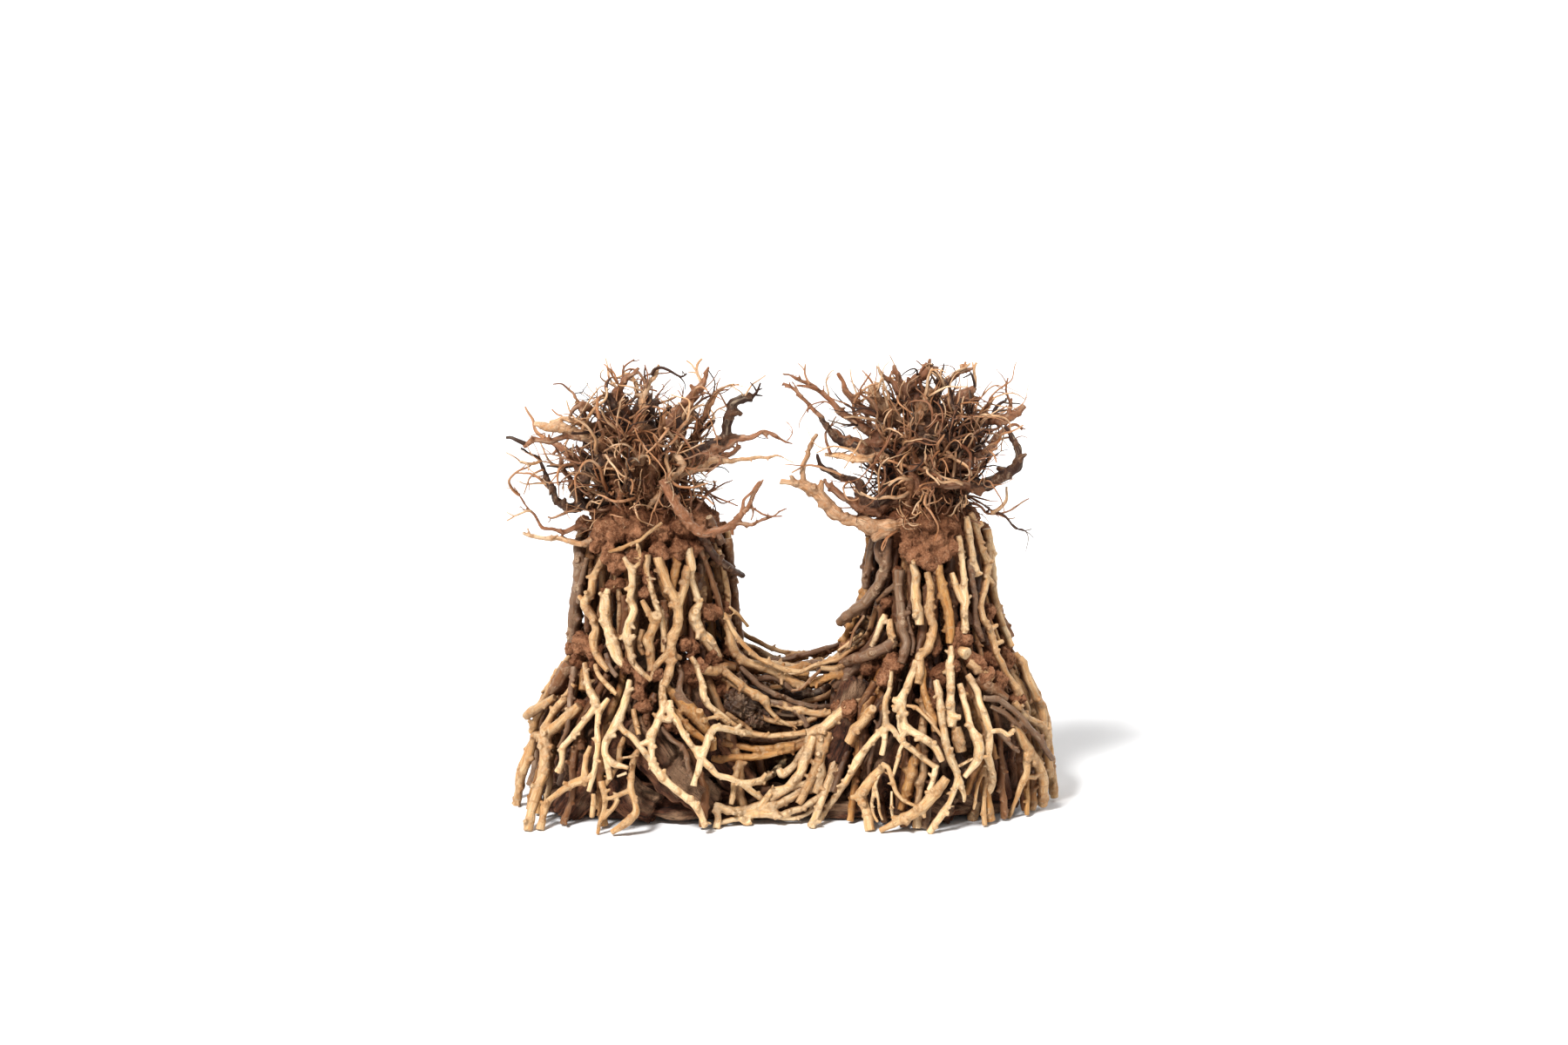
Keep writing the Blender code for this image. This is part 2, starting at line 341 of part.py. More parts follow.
def lump_spheres(node, rings):
    """Fixed spheres that fill a lump, so that twigs are moved clear of it."""
    rows = []
    for a, b in zip(rings[:-1], rings[1:]):
        for t in np.linspace(0, 1, 5):
            x, y, z, wide, deep = (1 - t) * np.array(a, dtype=float) + t * np.array(b, dtype=float)
            small, spare = min(wide, deep), abs(wide - deep)
            offsets = (-spare, 0, spare) if spare > 1 else (0,)
            for offset in offsets:
                rows.append((x + offset if wide > deep else x, y, z, small + LUMP_MARGIN))
    return {"node": node, "rows": np.array(rows), "free": False}


def fixed_lumps():
    lumps = [lump_spheres("base_log", LOG_RINGS), lump_spheres("heartwood_block", HEARTWOOD_RINGS)]
    for group in (STUMPS, WAISTS, COLLARS):
        for name, rings in group.items():
            lumps.append(lump_spheres(name, rings))
    for name, rings in CROWN_CORES.items():
        spread = [(x, 0, z, radius, radius) for z, x, radius in rings]
        lumps.append(lump_spheres(name, spread))
    return lumps


def crossing_pairs(place, radius, owner, free):
    """Pairs of spots on different nodes that are close enough to meet soon."""
    first, second = [], []
    for i in range(len(place) - 1):
        rest = slice(i + 1, None)
        span = np.linalg.norm(place[rest] - place[i], axis=1)
        close = (span < radius[rest] + radius[i] + CLEARANCE + PAIR_REACH) & (owner[rest] != owner[i])
        found = np.flatnonzero(close & (free[rest] | free[i])) + i + 1
        first.append(np.full(len(found), i))
        second.append(found)
    return np.concatenate(first), np.concatenate(second)


def settle(chains):
    """Push chains of different nodes apart until they clear one another, keeping each one smooth."""
    solids = chains + fixed_lumps()
    spots = np.vstack([c["rows"] for c in solids])
    names = [c["node"] for c in solids]
    owner = np.concatenate([[names.index(c["node"])] * len(c["rows"]) for c in solids])
    free = np.concatenate([[c["free"]] * len(c["rows"]) for c in solids])
    starts = np.cumsum([0] + [len(c["rows"]) for c in solids])
    place, radius = spots[:, :3].copy(), spots[:, 3]
    for step in range(SETTLE_STEPS):
        if step % PAIR_EVERY == 0:
            first, second = crossing_pairs(place, radius, owner, free)
        gap = place[first] - place[second]
        span = np.linalg.norm(gap, axis=1) + 1e-9
        bite = np.clip(radius[first] + radius[second] + CLEARANCE - span, 0, None)
        push = gap / span[:, None] * bite[:, None]
        move = np.zeros_like(place)
        hits = np.zeros(len(place))
        for spot, mate, sign in ((first, second, 1), (second, first, -1)):
            share = np.where(free[mate], 0.5, 1.0) * free[spot]
            np.add.at(move, spot, sign * push * share[:, None])
            np.add.at(hits, spot, (bite > 0) * 1.0)
        move /= np.maximum(hits, 1)[:, None]
        for chain, start, end in zip(solids, starts[:-1], starts[1:]):
            if chain["free"]:
                move[start:end] = smooth_move(move[start:end])
        place += move
        place[free, 2] = np.maximum(place[free, 2], FLOOR_SHARE * radius[free])
    for chain, start, end in zip(solids, starts[:-1], starts[1:]):
        chain["rows"][:, :3] = place[start:end]


def smooth_move(move):
    padded = np.vstack([move[:1], move, move[-1:]])
    return 0.25 * padded[:-2] + 0.5 * padded[1:-1] + 0.25 * padded[2:]


def join_forks(chains):
    """Bend each side arm so that it meets its own node's earlier arms again after the settling."""
    earlier = {}
    for chain in chains:
        if not chain["free"]:
            continue
        rows = chain["rows"]
        if chain["node"] in earlier:
            trunk = earlier[chain["node"]]
            gaps = np.linalg.norm(rows[:, None, :3] - trunk[None, :, :3], axis=2)
            spot, mate = np.unravel_index(gaps.argmin(), gaps.shape)
            falloff = np.exp(-((np.arange(len(rows)) - spot) / JOIN_REACH) ** 2)
            rows[:, :3] += falloff[:, None] * (trunk[mate, :3] - rows[spot, :3])
            earlier[chain["node"]] = np.vstack([trunk, rows])
        else:
            earlier[chain["node"]] = rows


# ---------------------------------------------------------------- meshes
def on_floor(spot):
    return Vector((spot.x, spot.y, max(spot.z, 0.0)))


def tube_mesh(rows, sides):
    """Closed tube with rounded, slightly irregular rings and domed ends."""
    rows = np.vstack([rows[:-1][::RING_STEP], rows[-1:]])
    points = [Vector(row[:3]) for row in rows]
    mesh = bmesh.new()
    rings = []
    direction = (points[1] - points[0]).normalized()
    across = direction.orthogonal().normalized()
    for i, row in enumerate(rows):
        ahead = points[min(i + 1, len(points) - 1)] - points[max(i - 1, 0)]
        direction = ahead.normalized()
        across = (across - direction * across.dot(direction)).normalized()
        up = direction.cross(across)
        ring = []
        for k in range(sides):
            angle = 2 * math.pi * k / sides
            radius = float(row[3]) * (0.95 + 0.05 * math.sin(2 * angle + 0.7 * i))
            spot = points[i] + radius * (math.cos(angle) * across + math.sin(angle) * up)
            ring.append(mesh.verts.new(on_floor(spot) * MM))
        rings.append(ring)
    for low, high in zip(rings[:-1], rings[1:]):
        for k in range(sides):
            mesh.faces.new((low[k], low[(k + 1) % sides], high[(k + 1) % sides], high[k]))
    for ring, spot, sign in ((rings[0], points[0], -1), (rings[-1], points[-1], 1)):
        row = rows[0] if sign < 0 else rows[-1]
        ahead = (points[1] - points[0]) if sign < 0 else (points[-1] - points[-2])
        tip = mesh.verts.new(on_floor(spot + sign * 0.25 * float(row[3]) * ahead.normalized()) * MM)
        for k in range(sides):
            mesh.faces.new((ring[k], ring[(k + 1) % sides], tip)[::sign])
    return finish_mesh(mesh)


def lump_mesh(rings, sides, bumps, flat_floor=False, along="Z"):
    """Closed rough body with one ring of vertices around each station."""
    mesh = bmesh.new()
    loops = []
    for i, (x, y, z, wide, tall) in enumerate(rings):
        loop = []
        for k in range(sides):
            angle = 2 * math.pi * k / sides
            rough = 1 + bumps * noise.noise(Vector((math.cos(angle) * 1.7, math.sin(angle) * 1.7, 0.9 * i + x)))
            first, second = wide * rough * math.cos(angle), tall * rough * math.sin(angle)
            spot = Vector((x, y + first, z + second)) if along == "X" else Vector((x + first, y + second, z))
            if flat_floor:
                spot.z = spot.z if spot.z > SOLE_HEIGHT else 0.0
            loop.append(mesh.verts.new(spot * MM))
        loops.append(loop)
    for low, high in zip(loops[:-1], loops[1:]):
        for k in range(sides):
            mesh.faces.new((low[k], low[(k + 1) % sides], high[(k + 1) % sides], high[k]))
    mesh.faces.new(loops[0][::-1])
    mesh.faces.new(loops[-1])
    return finish_mesh(mesh)


def finish_mesh(mesh):
    bmesh.ops.recalc_face_normals(mesh, faces=mesh.faces)
    data = bpy.data.meshes.new("solid")
    mesh.to_mesh(data)
    mesh.free()
    return data


def add_object(name, data):
    item = bpy.data.objects.new(name, data)
    bpy.context.scene.collection.objects.link(item)
    return item


def fuse(name, meshes):
    """One solid from several crossing ones."""
    base = add_object(name, meshes[0])
    for data in meshes[1:]:
        cutter = add_object(name + "_arm", data)
        step = base.modifiers.new("fuse", "BOOLEAN")
        step.operation = "UNION"
        step.solver = "EXACT"
        step.object = cutter
        whole = bpy.data.meshes.new_from_object(base.evaluated_get(bpy.context.evaluated_depsgraph_get()))
        base.modifiers.remove(step)
        base.data = whole
        bpy.data.objects.remove(cutter)
    return base


def dress(item, slot, materials, smooth=True):
    item.data.materials.clear()
    item.data.materials.append(materials[slot])
    item.data.polygons.foreach_set("use_smooth", [smooth] * len(item.data.polygons))


def make_materials():
    made = {}
    for slot, (colour, roughness) in MATERIALS.items():
        material = bpy.data.materials.new(slot)
        material.use_nodes = True
        shader = material.node_tree.nodes["Principled BSDF"]
        shader.inputs["Base Color"].default_value = (*colour, 1)
        shader.inputs["Roughness"].default_value = roughness
        shader.inputs["Metallic"].default_value = 0.0
        made[slot] = material
    return made


# ---------------------------------------------------------------- pieces
def build_twigs(chains, materials):
    slots = {name: slot for name, slot, _, _ in TRUNK_TWIGS}
    slots.update({name: slot for name, slot, _ in FREE_TWIGS})
    for name, slot in slots.items():
        sides = ROOT_SIDES if slot.startswith("root") else TWIG_SIDES
        arms = [tube_mesh(c["rows"], sides) for c in chains if c["node"] == name]
        dress(fuse(name, arms), slot, materials)


def build_crowns(chains, materials):
    for name, rings in CROWN_CORES.items():
        core = lump_mesh([(x, 0, z, r, r * DEPTH_RATIO) for z, x, r in rings], 14, 0.35)
        arms = [tube_mesh(c["rows"], ROOT_SIDES) for c in chains if c["node"] == name]
        dress(fuse(name, [core] + arms), "root_brown", materials)


def build_lumps(materials):
    dress(add_object("base_log", lump_mesh(LOG_RINGS, 18, 0.18, True, "X")), "driftwood", materials)
    dress(add_object("heartwood_block", lump_mesh(HEARTWOOD_RINGS, 10, 0.1)), "heartwood", materials)
    for name, rings in STUMPS.items():
        dress(add_object(name, lump_mesh(rings, 14, 0.25)), "driftwood", materials)
    for group in (WAISTS, COLLARS):
        for name, rings in group.items():
            dress(add_object(name, lump_mesh(rings, 16, 0.12)), "filler", materials)


def clear_scene():
    for item in list(bpy.data.objects):
        bpy.data.objects.remove(item, do_unlink=True)


def main():
    clear_scene()
    materials = make_materials()
    chains = gather_chains()
    settle(chains)
    join_forks(chains)
    build_lumps(materials)
    build_twigs(chains, materials)
    build_crowns(chains, materials)


main()
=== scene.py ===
"""Looks for the dry root ornament: glued twigs, gnarled root crowns, driftwood base and filler paste."""
import math
import random

import bmesh
import bpy
import numpy as np
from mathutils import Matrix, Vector, kdtree, noise


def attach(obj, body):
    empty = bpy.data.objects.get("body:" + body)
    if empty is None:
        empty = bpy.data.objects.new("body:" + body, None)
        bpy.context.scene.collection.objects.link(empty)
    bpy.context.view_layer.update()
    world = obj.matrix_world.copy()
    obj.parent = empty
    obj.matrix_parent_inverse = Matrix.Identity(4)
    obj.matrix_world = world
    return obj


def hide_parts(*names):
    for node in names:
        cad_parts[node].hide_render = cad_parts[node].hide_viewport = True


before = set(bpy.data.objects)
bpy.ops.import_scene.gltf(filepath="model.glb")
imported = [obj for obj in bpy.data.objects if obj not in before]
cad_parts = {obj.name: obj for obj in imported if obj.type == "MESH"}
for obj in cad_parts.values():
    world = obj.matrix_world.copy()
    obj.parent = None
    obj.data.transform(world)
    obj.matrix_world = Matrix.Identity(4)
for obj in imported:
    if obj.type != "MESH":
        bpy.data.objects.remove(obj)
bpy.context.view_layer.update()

# ---------------------------------------------------------------- driving dimensions (mm)
MM = 0.001
MIDDLE_X = {"left": -72.0, "right": 80.0}
DEPTH_RATIO = 0.88  # depth of a trunk for its width
# Skin of each trunk: (height, half width) from the floor up.
SKIN = {
    "left": [(0, 78), (20, 75), (40, 69), (60, 62), (75, 55), (90, 47), (100, 45), (150, 41), (185, 38)],
    "right": [(0, 70), (30, 68), (50, 65), (70, 58), (85, 50), (100, 42), (120, 36), (140, 33), (170, 29)],
}
FOOT = 0.4  # height at which a leg ends
ABOVE_FLOOR = 0.05
WAIST_PASTE, COLLAR_FOOT, COLLAR_TOP = 88, 132, 172  # heights of the paste, for the stain near it
KNOT_MARK = 0.7  # how dark a bud is against the twig
BROKEN_DISC = 0.55  # how pale a broken side shoot is at its end; a sawn end is 1
CURVE_STEP = 0.9
TUBE_SIDES, BUD_SIDES, ROOTLET_SIDES = 14, 10, 5
THIN = 0.95  # an arm that stays below this radius is a plain tube
SLIM = 0.93  # share of its radius that an arm keeps, because buds and webs thicken it again
KINK = 0.5  # 0 is a smooth curve through the stations, 1 is straight between them

# Voxel size of each kind of skin, and the rounds of smoothing after it.
VOXEL, REAR_VOXEL, ROOT_VOXEL, PASTE_VOXEL, DRIFTWOOD_VOXEL, HEARTWOOD_VOXEL = 0.52, 0.65, 0.7, 0.75, 0.9, 0.7
WOOD_ROUNDS, PASTE_ROUNDS = 2, 9

# Hollows, for the painted shade between twigs: cell size of the grid, cells averaged each way, how far off
# the surface the grid is read, and the shares of filled cells that count as open and as deep.
HOLLOW_CELL, HOLLOW_REACH, HOLLOW_AHEAD = 2.0, 4, 5.0
HOLLOW_FROM, HOLLOW_TO = 0.17, 0.5
GRID_LOW, GRID_HIGH = np.array([-160.0, -80.0, -10.0]), np.array([160.0, 80.0, 260.0])
BUILT = []  # every finished piece, for the hollows

# Limits of the rootlets front to back and in height, their numbers, and the step of their walk.
CROWN_DEPTH, CROWN_HEIGHT = (-62, 64), (150, 250.5)
CROWN_FOOT, CROWN_MIDDLE = 162, 184  # heights where the roots leave the collar and push apart
RISING_ROOTS, SHORT_CURLS, ROOTLETS, CORE_STARTS = 34, 90, 430, 60
WALK_STEP = 1.7

# Linear colours.
TINTS = {
    "cream": (0.72, 0.52, 0.3),
    "tan": (0.53, 0.335, 0.165),
    "amber": (0.46, 0.245, 0.085),
    "brown": (0.2, 0.092, 0.038),
    "grey": (0.19, 0.115, 0.07),
    "char": (0.1, 0.066, 0.045),
    "dark": (0.06, 0.03, 0.018),
    "bark": (0.4, 0.2, 0.098),
    "rind": (0.42, 0.25, 0.14),
    "root": (0.25, 0.115, 0.06),
    "pale_root": (0.6, 0.385, 0.225),
    "black_root": (0.04, 0.018, 0.011),
}
STAIN_AND_SHADE, KNOT, SPECK = (0.13, 0.045, 0.018, 1), (0.2, 0.085, 0.035, 1), (0.09, 0.045, 0.022, 1)
WARM, BLEACHED, PITH = (0.86, 0.62, 0.38, 1), (0.78, 0.6, 0.4, 1), (0.16, 0.08, 0.04, 1)
# Multiplied into the colour where twigs crowd together: painted shade in the hollows, with some dirt.
DIRT_AND_SHADE = (0.26, 0.15, 0.09, 1)

# ---------------------------------------------------------------- twig tables
# CAD node: tint and arms of (bearing from the front in degrees, height, lift off the skin, radius).
SKIN_TWIGS = {
    "left_waist_grey": ("grey", [
        [(-82, 152, 0, 3.2), (-76, 146, 0, 3.6), (-72, 138, 0, 3.9), (-70, 127, 0, 4), (-77, 115, 0, 4.1),
         (-80, 103, 0, 3.8), (-78, 94, 0, 3.2)],
        [(-60, 144, 0, 1.6), (-63, 130, 1, 1.9), (-66, 118, 1, 1.9)]]),
    "left_waist_kinked": ("tan", [
        [(-41, 146, 0, 2), (-47, 134, 1, 2.5), (-49, 127, 1, 2.7), (-55, 119, 2, 3), (-46, 112, 1, 2.7),
         (-42, 106, 1, 2.6), (-44, 102, 1, 3.1), (-43, 97, 1, 2.7), (-37, 91, 1, 2.3), (-28, 86, 2, 1.9)],
        [(-41, 146, 0, 1.5), (-33, 150, 1, 1.3), (-20, 154, 2, 1.2), (-12, 157, 2, 1.2), (-2, 162, 3, 1.1),
         (8, 168, 4, 1)],
        [(-53, 120, 2, 2), (-61, 123, 3, 1.5)]]),
    "left_waist_knob": ("cream", [
        [(-34, 130, 0, 1.5), (-35, 124, 0, 2.9), (-36, 118, 0, 3.4), (-33, 110, 0, 3.3), (-29, 102, 0, 3.4),
         (-26, 97, 0, 4), (-22, 92, 1, 3.2), (-18, 89, 1.5, 1.8)],
        [(-33, 124, 2, 2.2), (-31, 116, 3, 1.8)]]),
    "left_waist_slim": ("cream", [
        [(-21, 148, 0, 1.7), (-14, 142, 1, 2.6), (-14, 134, 1, 2.1), (-15, 126, 1, 2.2), (-12, 120, 1, 2.4),
         (-16, 112, 1, 2.3), (-17, 106, 1, 3), (-15, 99, 1, 2.4), (-13, 91, 1, 2.1), (-6, 86, 1.5, 1.9),
         (0, 82, 1, 1.6)],
        [(-14, 141, 1, 1.5), (-8, 147, 1, 1.2), (-11, 157, 2, 1)],
        [(-17, 106, 1, 2.2), (-23, 103, 0, 1.5)]]),
    "left_waist_sawn": ("tan", [
        [(4, 117.5, 3.6, 3.3), (3, 116, 1, 3.4), (2, 112, -0.5, 3.2), (0, 108, 0, 2.7), (-3, 103, 0, 3.3),
         (-1, 98, 0, 2.9), (0, 90, 0, 2.7), (0, 86, 0, 2.8)],
        [(-7, 125, 0, 1.6), (-3, 120, 0, 2), (1, 114, 0, 2.4)]]),
    "left_waist_fork": ("tan", [
        [(5, 149, 1, 3.1), (8, 141, 1, 3.1), (12, 134, 1, 2.7), (17, 125, 1, 2.9), (19, 118, 1, 3),
         (18, 110, 1, 3), (15, 104, 1, 3.2), (13, 99, 1, 2.9), (13, 92, 1, 2.8), (10, 84, 1.5, 2.5),
         (7, 79, 1.5, 2.2)],
        [(28, 143, 1, 2.2), (27, 139, 1, 2.9), (24, 131, 1, 2.5), (20, 123, 1, 2.7)],
        [(14, 99, 1, 2.1), (8, 94, 1, 2.2), (2, 89, 1, 1.8), (0, 83, 1, 1.5)]]),
    "left_waist_pale": ("cream", [
        [(32, 142, 0, 2.2), (31, 136, 0, 2.3), (33, 129, 0, 2.2), (37, 122, 0, 1.9), (33, 118, 0, 3.1),
         (32, 113, 0, 3.5), (36, 107, 0, 2.9), (40, 101, 0, 2.8), (44, 95, 0, 2.2)],
        [(29, 153, 1, 2.7), (30, 146, 1, 2.9), (31, 140, 1, 2.4)]]),
    "left_waist_side": ("tan", [
        [(104, 148, 0, 3.2), (98, 134, 0, 3), (106, 118, 0, 3.4), (100, 104, 0, 3.1), (108, 90, 0, 3)]]),
    "left_waist_back_fork": ("tan", [
        [(150, 147, 0, 3), (158, 132, 0, 3), (152, 116, 0, 3.3), (160, 102, 0, 3), (154, 89, 0, 2.8)],
        [(178, 146, 0, 2.2), (170, 132, 0, 2.3), (158, 120, 0, 2.5)]]),
    "left_waist_back_grey": ("grey", [
        [(-126, 147, 0, 3.4), (-134, 130, 0, 3.6), (-128, 112, 0, 3.6), (-136, 96, 0, 3.2)]]),
    "right_waist_branch": ("grey", [
        [(-46, 156, 0, 2.4), (-48, 148, 0, 2.7), (-47, 140, 0, 3.3), (-50, 133, 0, 3.4), (-57, 125, 1, 3.4),
         (-66, 117, 3, 3.3), (-78, 109, 7, 3.1), (-84, 104, 9, 2.8)],
        [(-58, 157, 0, 2.6), (-60, 149, 1, 3), (-52, 140, 0, 2)]]),
    "right_waist_forked": ("grey", [
        [(-31, 139, 0, 3.4), (-31, 132, 0, 3), (-28, 122, 0, 2.7), (-24, 114, 0, 3), (-23, 107, 0, 3.1),
         (-18, 99, 0, 2.9), (-20, 90, 0, 2.6)],
        [(-33, 131, 0, 1.8), (-42, 126, 0, 1.5), (-52, 120, 1, 1.2)]]),
    "right_waist_cream": ("cream", [
        [(-19, 150, 0, 2.5), (-18, 144, 0, 2.2), (-15, 137, 0, 2.6), (-14, 130, 0, 2.9), (-13, 122, 0, 3),
         (-10, 116, 0, 3.3), (-9, 110, 0, 2.8)]]),
    "right_waist_middle": ("tan", [
        [(-4, 139, 0, 2), (0, 131, 0, 2.3), (-1, 124, 0, 2.6), (-1, 117, 0, 2.8), (2, 110, 0, 2.5),
         (1, 104, 0, 2.8), (-3, 98, 0, 2.6), (-8, 93, 0, 2.9), (-7, 86, 0, 2.5), (-8, 80, 0, 2.2)],
        [(-1, 120, 0, 1.9), (-6, 119, 0, 1.4)]]),
    "right_waist_brown": ("amber", [
        [(8, 143, 0, 2.3), (9, 135, 0, 2.6), (13, 126, 0, 3), (15, 117, 0, 3), (16, 108, 0, 2.7),
         (14, 100, 0, 2.4)]]),
    "right_waist_long": ("cream", [
        [(28, 158, 1, 1.8), (30, 150, 1, 2.2), (31, 143, 1, 1.9), (31, 135, 1, 2.1), (30, 125, 1, 2.4),
         (28, 114, 1, 2.3), (26, 105, 1, 2.2)],
        [(20, 138, 0, 1.6), (23, 130, 0, 2), (28, 122, 1, 2.2)]]),
    "right_waist_rim": ("tan", [
        [(46, 169, 1, 1.9), (52, 161, 1, 2.4), (57, 152, 1, 2), (63, 145, 1, 2.3), (70, 139, 1, 3),
         (62, 132, 1, 2.4), (52, 125, 2, 1.9), (47, 118, 2, 1.7), (46, 112, 2, 1.8), (50, 105, 2, 2.2),
         (51, 98, 2, 2.1), (49, 91, 2, 2), (50, 84, 2, 2.1), (54, 76, 1, 2.4), (57, 69, 1, 2.5)],
        [(52, 161, 1, 2), (60, 163, 3, 1.9)],
        [(62, 132, 1, 1.9), (69, 127, 3, 1.6)],
        [(50, 105, 2, 1.7), (58, 107, 4, 1.3)],
        [(51, 97, 2, 1.8), (59, 98, 4, 1.3)]]),
    "right_waist_back": ("tan", [
        [(112, 147, 0, 3), (120, 130, 0, 3), (112, 112, 0, 3.2), (118, 94, 0, 3)],
        [(138, 145, 0, 2.2), (132, 132, 0, 2.2), (118, 120, 0, 2.4)]]),
    "right_waist_back_grey": ("grey", [
        [(-150, 147, 0, 3.2), (-142, 130, 0, 3.2), (-150, 112, 0, 3.4), (-142, 94, 0, 3)]]),
    "left_skirt_thick_leg": ("tan", [
        [(-42, 66, 0, 2.9), (-49, 58, 0, 3.1), (-57, 51, 0, 3.4), (-61, 45, 0, 4.1), (-57, 36, 0, 3.6),
         (-54, 27, 1, 3.5), (-52, 18, 5, 3.1), (-49, 9, 11, 2.9), (-46, FOOT, 16, 2.8)],
        [(-52, 76, 0, 2.2), (-56, 67, 0, 2.5), (-61, 58, 0, 2.4), (-64, 50, 0, 2.6), (-62, 45, 0, 2.8)],
        [(-62, 45, 0, 2.6), (-74, 43, 0, 2.2), (-74, 33, 0, 2.4), (-76, 22, 0, 2.4), (-80, 11, 0, 2.5),
         (-85, FOOT, 0, 2.6)],
        [(-60, 50, 0, 2.6), (-58, 49, 5.5, 2.5)],
        [(-66, 66, 0, 2.2), (-74, 60, 2, 2.7), (-85, 54, 4, 2.9), (-92, 49, 6, 2.5)]]),
    "left_skirt_knotted": ("tan", [
        [(-31, 46, -2, 1.5), (-32, 40, -2, 1.9), (-32, 34, -2, 2), (-30, 29, 0, 2.9), (-36, 26, 0, 2.3),
         (-40, 22, 2, 1.9), (-44, 17, 4, 1.9), (-46, 12, 5, 2.5), (-45, 6, 8, 2.1), (-44, FOOT, 10, 2.7)],
        [(-46, 12, 5, 1.6), (-49, 14, 5, 1.2)]]),
    "left_skirt_cream_fork": ("cream", [
        [(-50, 87, 0, 1.8), (-44, 82, 1, 2.1), (-38, 76, 1, 2), (-31, 68, 1, 2.6), (-34, 61, 1, 2.1),
         (-38, 55, 1, 2), (-42, 48, 1, 1.9), (-45, 44, 1, 2.2), (-44, 37, 1, 1.8), (-45, 30, 1, 2.4)],
        [(-24, 72, 1, 1.4), (-28, 66, 1, 2), (-28, 57, 1, 1.6), (-26, 50, 1, 1.9), (-25, 40, 1, 1.6),
         (-26, 30, 1, 1.7), (-27, 23, 1, 1.5)]]),
    "left_skirt_white_fork": ("cream", [
        [(-13, 82, 1, 1.7), (-14, 76, 1, 2.2), (-15, 68, 1, 2.3), (-17, 61, 1, 3.2), (-20, 55, 1, 2.3),
         (-22, 49, 1, 2.4), (-21, 43, 1, 2), (-17, 39, 1, 2), (-13, 38, 1, 1.7), (-10, 37, 1, 1.2)],
        [(-17, 61, 1, 2.4), (-13, 56, 1, 1.9), (-9, 53, 1, 1.9), (-5, 48, 1, 2), (-1, 42, 1, 1.8),
         (3, 35, 1, 1.8)],
        [(-21, 43, 1, 2), (-20, 36, 0, 1.9), (-18, 30, 0, 1.6)]]),
    "left_skirt_front_leg": ("cream", [
        [(7, 83, 0, 1.9), (6, 75, 0, 2.2), (6, 67, 0, 2.5), (3, 60, 0, 2.3), (0, 54, 0, 2.8), (0, 46, 0, 2.3),
         (1, 38, 0, 2.6), (5, 32, 0, 2.4), (10, 26, 0, 2.1), (15, 21, 0, 2.2), (19, 16, 0, 2.4),
         (21, 10, 0, 1.9), (22, 4, 0, 1.9)],
        [(5, 63, 0, 1.9), (9, 62, 1, 2.1), (10, 68, 1, 2.3), (10, 71, 1, 1.8)],
        [(0, 51, 0, 2.4), (-6, 49, 1, 1.8)]]),
    "left_skirt_split_leg": ("tan", [
        [(-5, 47, -3, 1.6), (-8, 42, -3, 2), (-9, 35, -3, 1.9), (-9, 26, -2, 2.2), (-7, 20, -1, 1.6),
         (-6, 14, 0, 2.3), (-9, 9, 0, 2.6), (-13, 5, 0, 2.1), (-16, 2, 1, 1.8)],
        [(-9, 25, -2, 1.5), (-15, 21, -1, 1.5), (-19, 20, 0, 1.2)],
        [(-14, 20, -1, 1.4), (-16, 15, 0, 1.4), (-20, 9, 0, 1.2)],
        [(-22, 29, 0, 2), (-20, 23, 0, 1.7), (-20, 14, 0, 1.4), (-21, 8, 0, 1.4), (-22, FOOT, 0, 1.1)],
        [(-25, 22, 0, 1.5), (-25, 15, 0, 1.7), (-25, 9, 0, 1.6)]]),
    "left_skirt_antler": ("cream", [
        [(10, 72, 1, 1.9), (10, 66, 1, 2.1), (13, 60, 1, 1.8), (16, 54, 1, 1.8), (19, 48, 1, 1.7),
         (23, 42, 1, 2.6), (26, 47, 1, 2.3), (28, 52, 1, 2.2), (32, 56, 1, 2.2), (38, 55, 1, 2.1),
         (46, 52, 1, 2.2), (54, 49, 1, 2.3), (62, 46, 1, 2.5)],
        [(23, 41, 1, 2.4), (21, 36, 1, 2), (19, 31, 1, 1.7), (18, 27, 1, 2.1)],
        [(23, 41, 1, 2.2), (26, 36, 1, 2.1), (29, 32, 1, 1.8), (35, 29, 1, 1.7), (41, 25, 1, 1.9),
         (48, 24, 1, 2.1), (57, 24, 0, 2.2), (68, 25, 0, 2.2), (78, 26, 0, 2.1), (90, 27, 0, 1.9)],
        [(41, 25, 1, 1.8), (46, 19, 1, 1.9), (52, 13, 1, 1.8)],
        [(25, 46, 1, 1.6), (21, 47, 2, 1.3)]]),
    "left_skirt_back_leg": ("tan", [
        [(-120, 84, 0, 3), (-128, 66, 0, 3.2), (-122, 46, 0, 3.6), (-130, 26, 0, 3.2), (-126, FOOT, 0, 3)],
        [(-100, 70, 0, 2.2), (-112, 56, 0, 2.4), (-122, 44, 0, 2.6)]]),
    "left_skirt_back_fork": ("cream", [
        [(168, 84, 0, 2.6), (176, 64, 0, 2.8), (168, 44, 0, 3.2), (178, 24, 0, 2.6), (172, FOOT, 0, 2.4)],
        [(168, 44, 0, 2.6), (154, 28, 0, 2.3), (148, 10, 0, 2.1)]]),
    "left_skirt_back_side": ("grey", [
        [(124, 84, 0, 2.8), (116, 64, 0, 3), (124, 44, 0, 3), (114, 24, 0, 2.8), (120, FOOT, 0, 2.6)]]),
    "right_skirt_cream_fork": ("cream", [
        [(-10, 92, 1, 1.9), (-12, 85, 1, 2.2), (-14, 78, 1, 2.3), (-17, 71, 1, 3.1), (-15, 64, 1, 2.4),
         (-13, 58, 1, 2.7), (-8, 55, 1, 2.4), (-2, 51, 1, 2.5), (2, 47, 1, 2.3), (5, 40, 1, 1.9)],
        [(-17, 71, 1, 2.2), (-21, 72, 2, 1.8)],
        [(-12, 57, 1, 2), (-15, 52, 1, 1.7)]]),
    "right_skirt_crossing": ("cream", [
